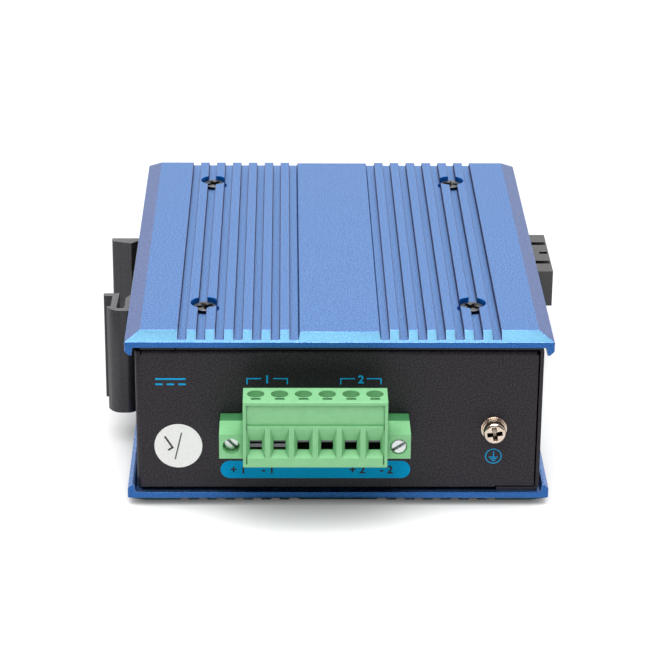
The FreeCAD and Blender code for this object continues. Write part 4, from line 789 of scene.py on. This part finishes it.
# %% Earth sign
# A ring holds a stem and three bars that shorten downwards, each with its half length and its height.
EARTH_RING = 1.83
THIN = 0.21
STEM_FOOT, STEM_TOP = -0.13, 1.27
BARS = ((1.03, -0.23), (0.7, -0.66), (0.35, -1.1))
BELOW_SCREW, BESIDE_SCREW = 6.8, 0.1
earth_x = earth_middle[0] + BESIDE_SCREW
earth_z = earth_middle[2] - BELOW_SCREW
earth_sign = ring(earth_x, earth_z, EARTH_RING - THIN, EARTH_RING)
earth_sign.append(oblong(earth_x - THIN / 2, earth_x + THIN / 2, earth_z + STEM_FOOT, earth_z + STEM_TOP))
for half, height in BARS:
    foot = earth_z + height - THIN / 2
    earth_sign.append(oblong(earth_x - half, earth_x + half, foot, foot + THIN))
flat_on_panel("print_earth_sign", earth_sign, ink_blue)

# %% [markdown]
# ## Paper seal
# A round of white coated paper is stuck on by hand, well turned. It carries a plain tick on a line, printed
# in grey. The marks are laid out upright about the seal's middle, then turned with it, as the paper was.

# %% Paper seal
# Coated paper is nearly pure white with a faint sheen, and office ink is dull on it.
white_paper = mottled("White coated paper", "#F8F7F6", "#FDFCFB", size=0.7, roughness=(0.5, 0.6),
                      Specular_IOR_Level=0.35)
dress(white_paper, "paper_seal")
ink_grey = mottled("Dark grey office ink", "#3A3A3E", "#4A4A4E", size=0.4, roughness=(0.5, 0.6),
                   Specular_IOR_Level=0.3)


def stroke_between(x0, z0, x1, z1, width):
    """Straight stroke of a pen: an oblong laid along the line from one end to the other."""
    run = np.array([x1 - x0, z1 - z0])
    side = np.array([-run[1], run[0]]) / np.linalg.norm(run) * width / 2
    start = np.array([x0, z0])
    end = np.array([x1, z1])
    return np.array([start - side, end - side, end + side, start + side])


# The tick's two strokes, each from end to end, in millimetres from the seal's middle.
TICK = ((-1.5, 2.0, -0.5, 1.0), (-0.65, 1.15, 1.6, 3.4))
SEAL_THICK = 0.1
PEN = 0.42
LINE_HALF, LINE_THICK = 3.3, 0.28
SEAL_TURN = math.radians(77)
seal_x, _, seal_z = sum(span("paper_seal")) / 2
marks = [stroke_between(*ends, PEN) for ends in TICK]
marks.append(oblong(-LINE_HALF, LINE_HALF, -LINE_THICK / 2, LINE_THICK / 2))
cosine, sine = math.cos(SEAL_TURN), math.sin(SEAL_TURN)
marks = [mark @ np.array([[cosine, sine], [-sine, cosine]]) + [seal_x, seal_z] for mark in marks]
flat_on_panel("seal_marks", marks, ink_grey, SEAL_THICK + INK)
print("seal marked, turned", round(math.degrees(SEAL_TURN)), "degrees")

# %% [markdown]
# ## Ports and lamps
# The fibre transceiver is black moulded plastic with a satin face, which turns grey where it mirrors the
# white room at a shallow angle. The jack has a tin plated shell and gold contacts. The lamps are barrels of
# tinted resin that end in half an ellipsoid. One profile, a straight run and a quarter ellipse, is carried
# round the axis, as a lathe would do it.

# %% Ports
# Satin plastic mirrors softly, zirconia is a clean china white, and a flash of gold glints yellow.
black_plastic = mottled("Black moulded plastic, satin", "#1B191C", "#262427", size=1.0,
                        roughness=(0.16, 0.24), Specular_IOR_Level=1.0)
dress(black_plastic, "fibre_transceiver", "ethernet_insert", "lamp_holder")
break_edges(0.12, "fibre_transceiver", "ethernet_insert")
ceramic = mottled("White zirconia sleeve", "#E6E2D8", "#EEEAE2", size=0.6, roughness=(0.2, 0.3),
                  Specular_IOR_Level=0.6)
dress(ceramic, "fibre_sleeves")
dress(shaded_tin, "ethernet_shell")
gold = mottled("Gold flash on bronze wire", "#D9B45A", "#E6C470", size=0.4, roughness=(0.2, 0.3),
               Metallic=1.0)
dress(gold, "ethernet_contacts", "flange_inserts")
print("port pieces dressed in", black_plastic.name)

# %% Lamps
# Tinted resin is clear enough to glow where light passes through its edge.
lens = mottled("Green tinted epoxy lens", "#7FCB86", "#8FD896", size=0.8, roughness=(0.1, 0.2),
               Transmission_Weight=0.35, IOR=1.5)
LAMP_RADIUS = 1.5
LAMP_BARREL = 0.95
LAMP_DOME = 0.8
LAMP_PITCH = 5.0
lamps_low, lamps_high = span("status_lamps")
_, lamp_y, lamp_z = (lamps_low + lamps_high) / 2
around = np.linspace(0, 2 * math.pi, 40, endpoint=False)
arc = np.linspace(0, math.pi / 2, 9)
radius = np.concatenate([[0.0, LAMP_RADIUS], LAMP_RADIUS * np.cos(arc)])[:, None]
reach = np.concatenate([[0.0, 0.0], LAMP_BARREL + LAMP_DOME * np.sin(arc)])[:, None]
out = lamps_low[0] + reach + 0 * around
dome = np.stack([out, radius * np.cos(around), radius * np.sin(around)], axis=-1)
dome_faces = grid_faces(*dome.shape[:2])
domes = [(dome.reshape(-1, 3) + [0, lamp_y + LAMP_PITCH * step, lamp_z], dome_faces) for step in range(-2, 3)]
lamps = piece("status_lamp_domes", domes, lens)
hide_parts("status_lamps")
print("lamp domes:", len(lamps.data.polygons), "faces")

# %% [markdown]
# ## Inside the box
# Pieces that the closed housing hides still have their own finish: green solder mask on the board, plated
# nuts and standoffs, black packages, bare aluminium cans. They take recipes already at hand, so that the
# box may be opened.

# %% Inside the box
# Solder mask is a satin green film, and drawn cans keep a soft metal shine.
solder_mask = mottled("Green solder mask on laminate", "#1E5A34", "#246640", size=2.0,
                      roughness=(0.3, 0.42))
dress(solder_mask, "circuit_board")
dress(zinc, "top_cover_nuts", "bottom_cover_nuts", "rail_clip_nuts", "board_standoffs", "board_screws")
dress(black_plastic, "controller_chip", "line_transformer", "power_inductor")
aluminium_can = mottled("Drawn aluminium can", "#B8BABD", "#C8CACD", size=0.6, roughness=(0.28, 0.38),
                        Metallic=1.0)
dress(aluminium_can, "smoothing_capacitors", "clock_crystal")
finishes = {name: item.data.materials for name, item in nodes.items()}
unfinished = [name for name, finish in finishes.items() if not finish or finish[0] is None]
print("pieces without a finish:", unfinished)
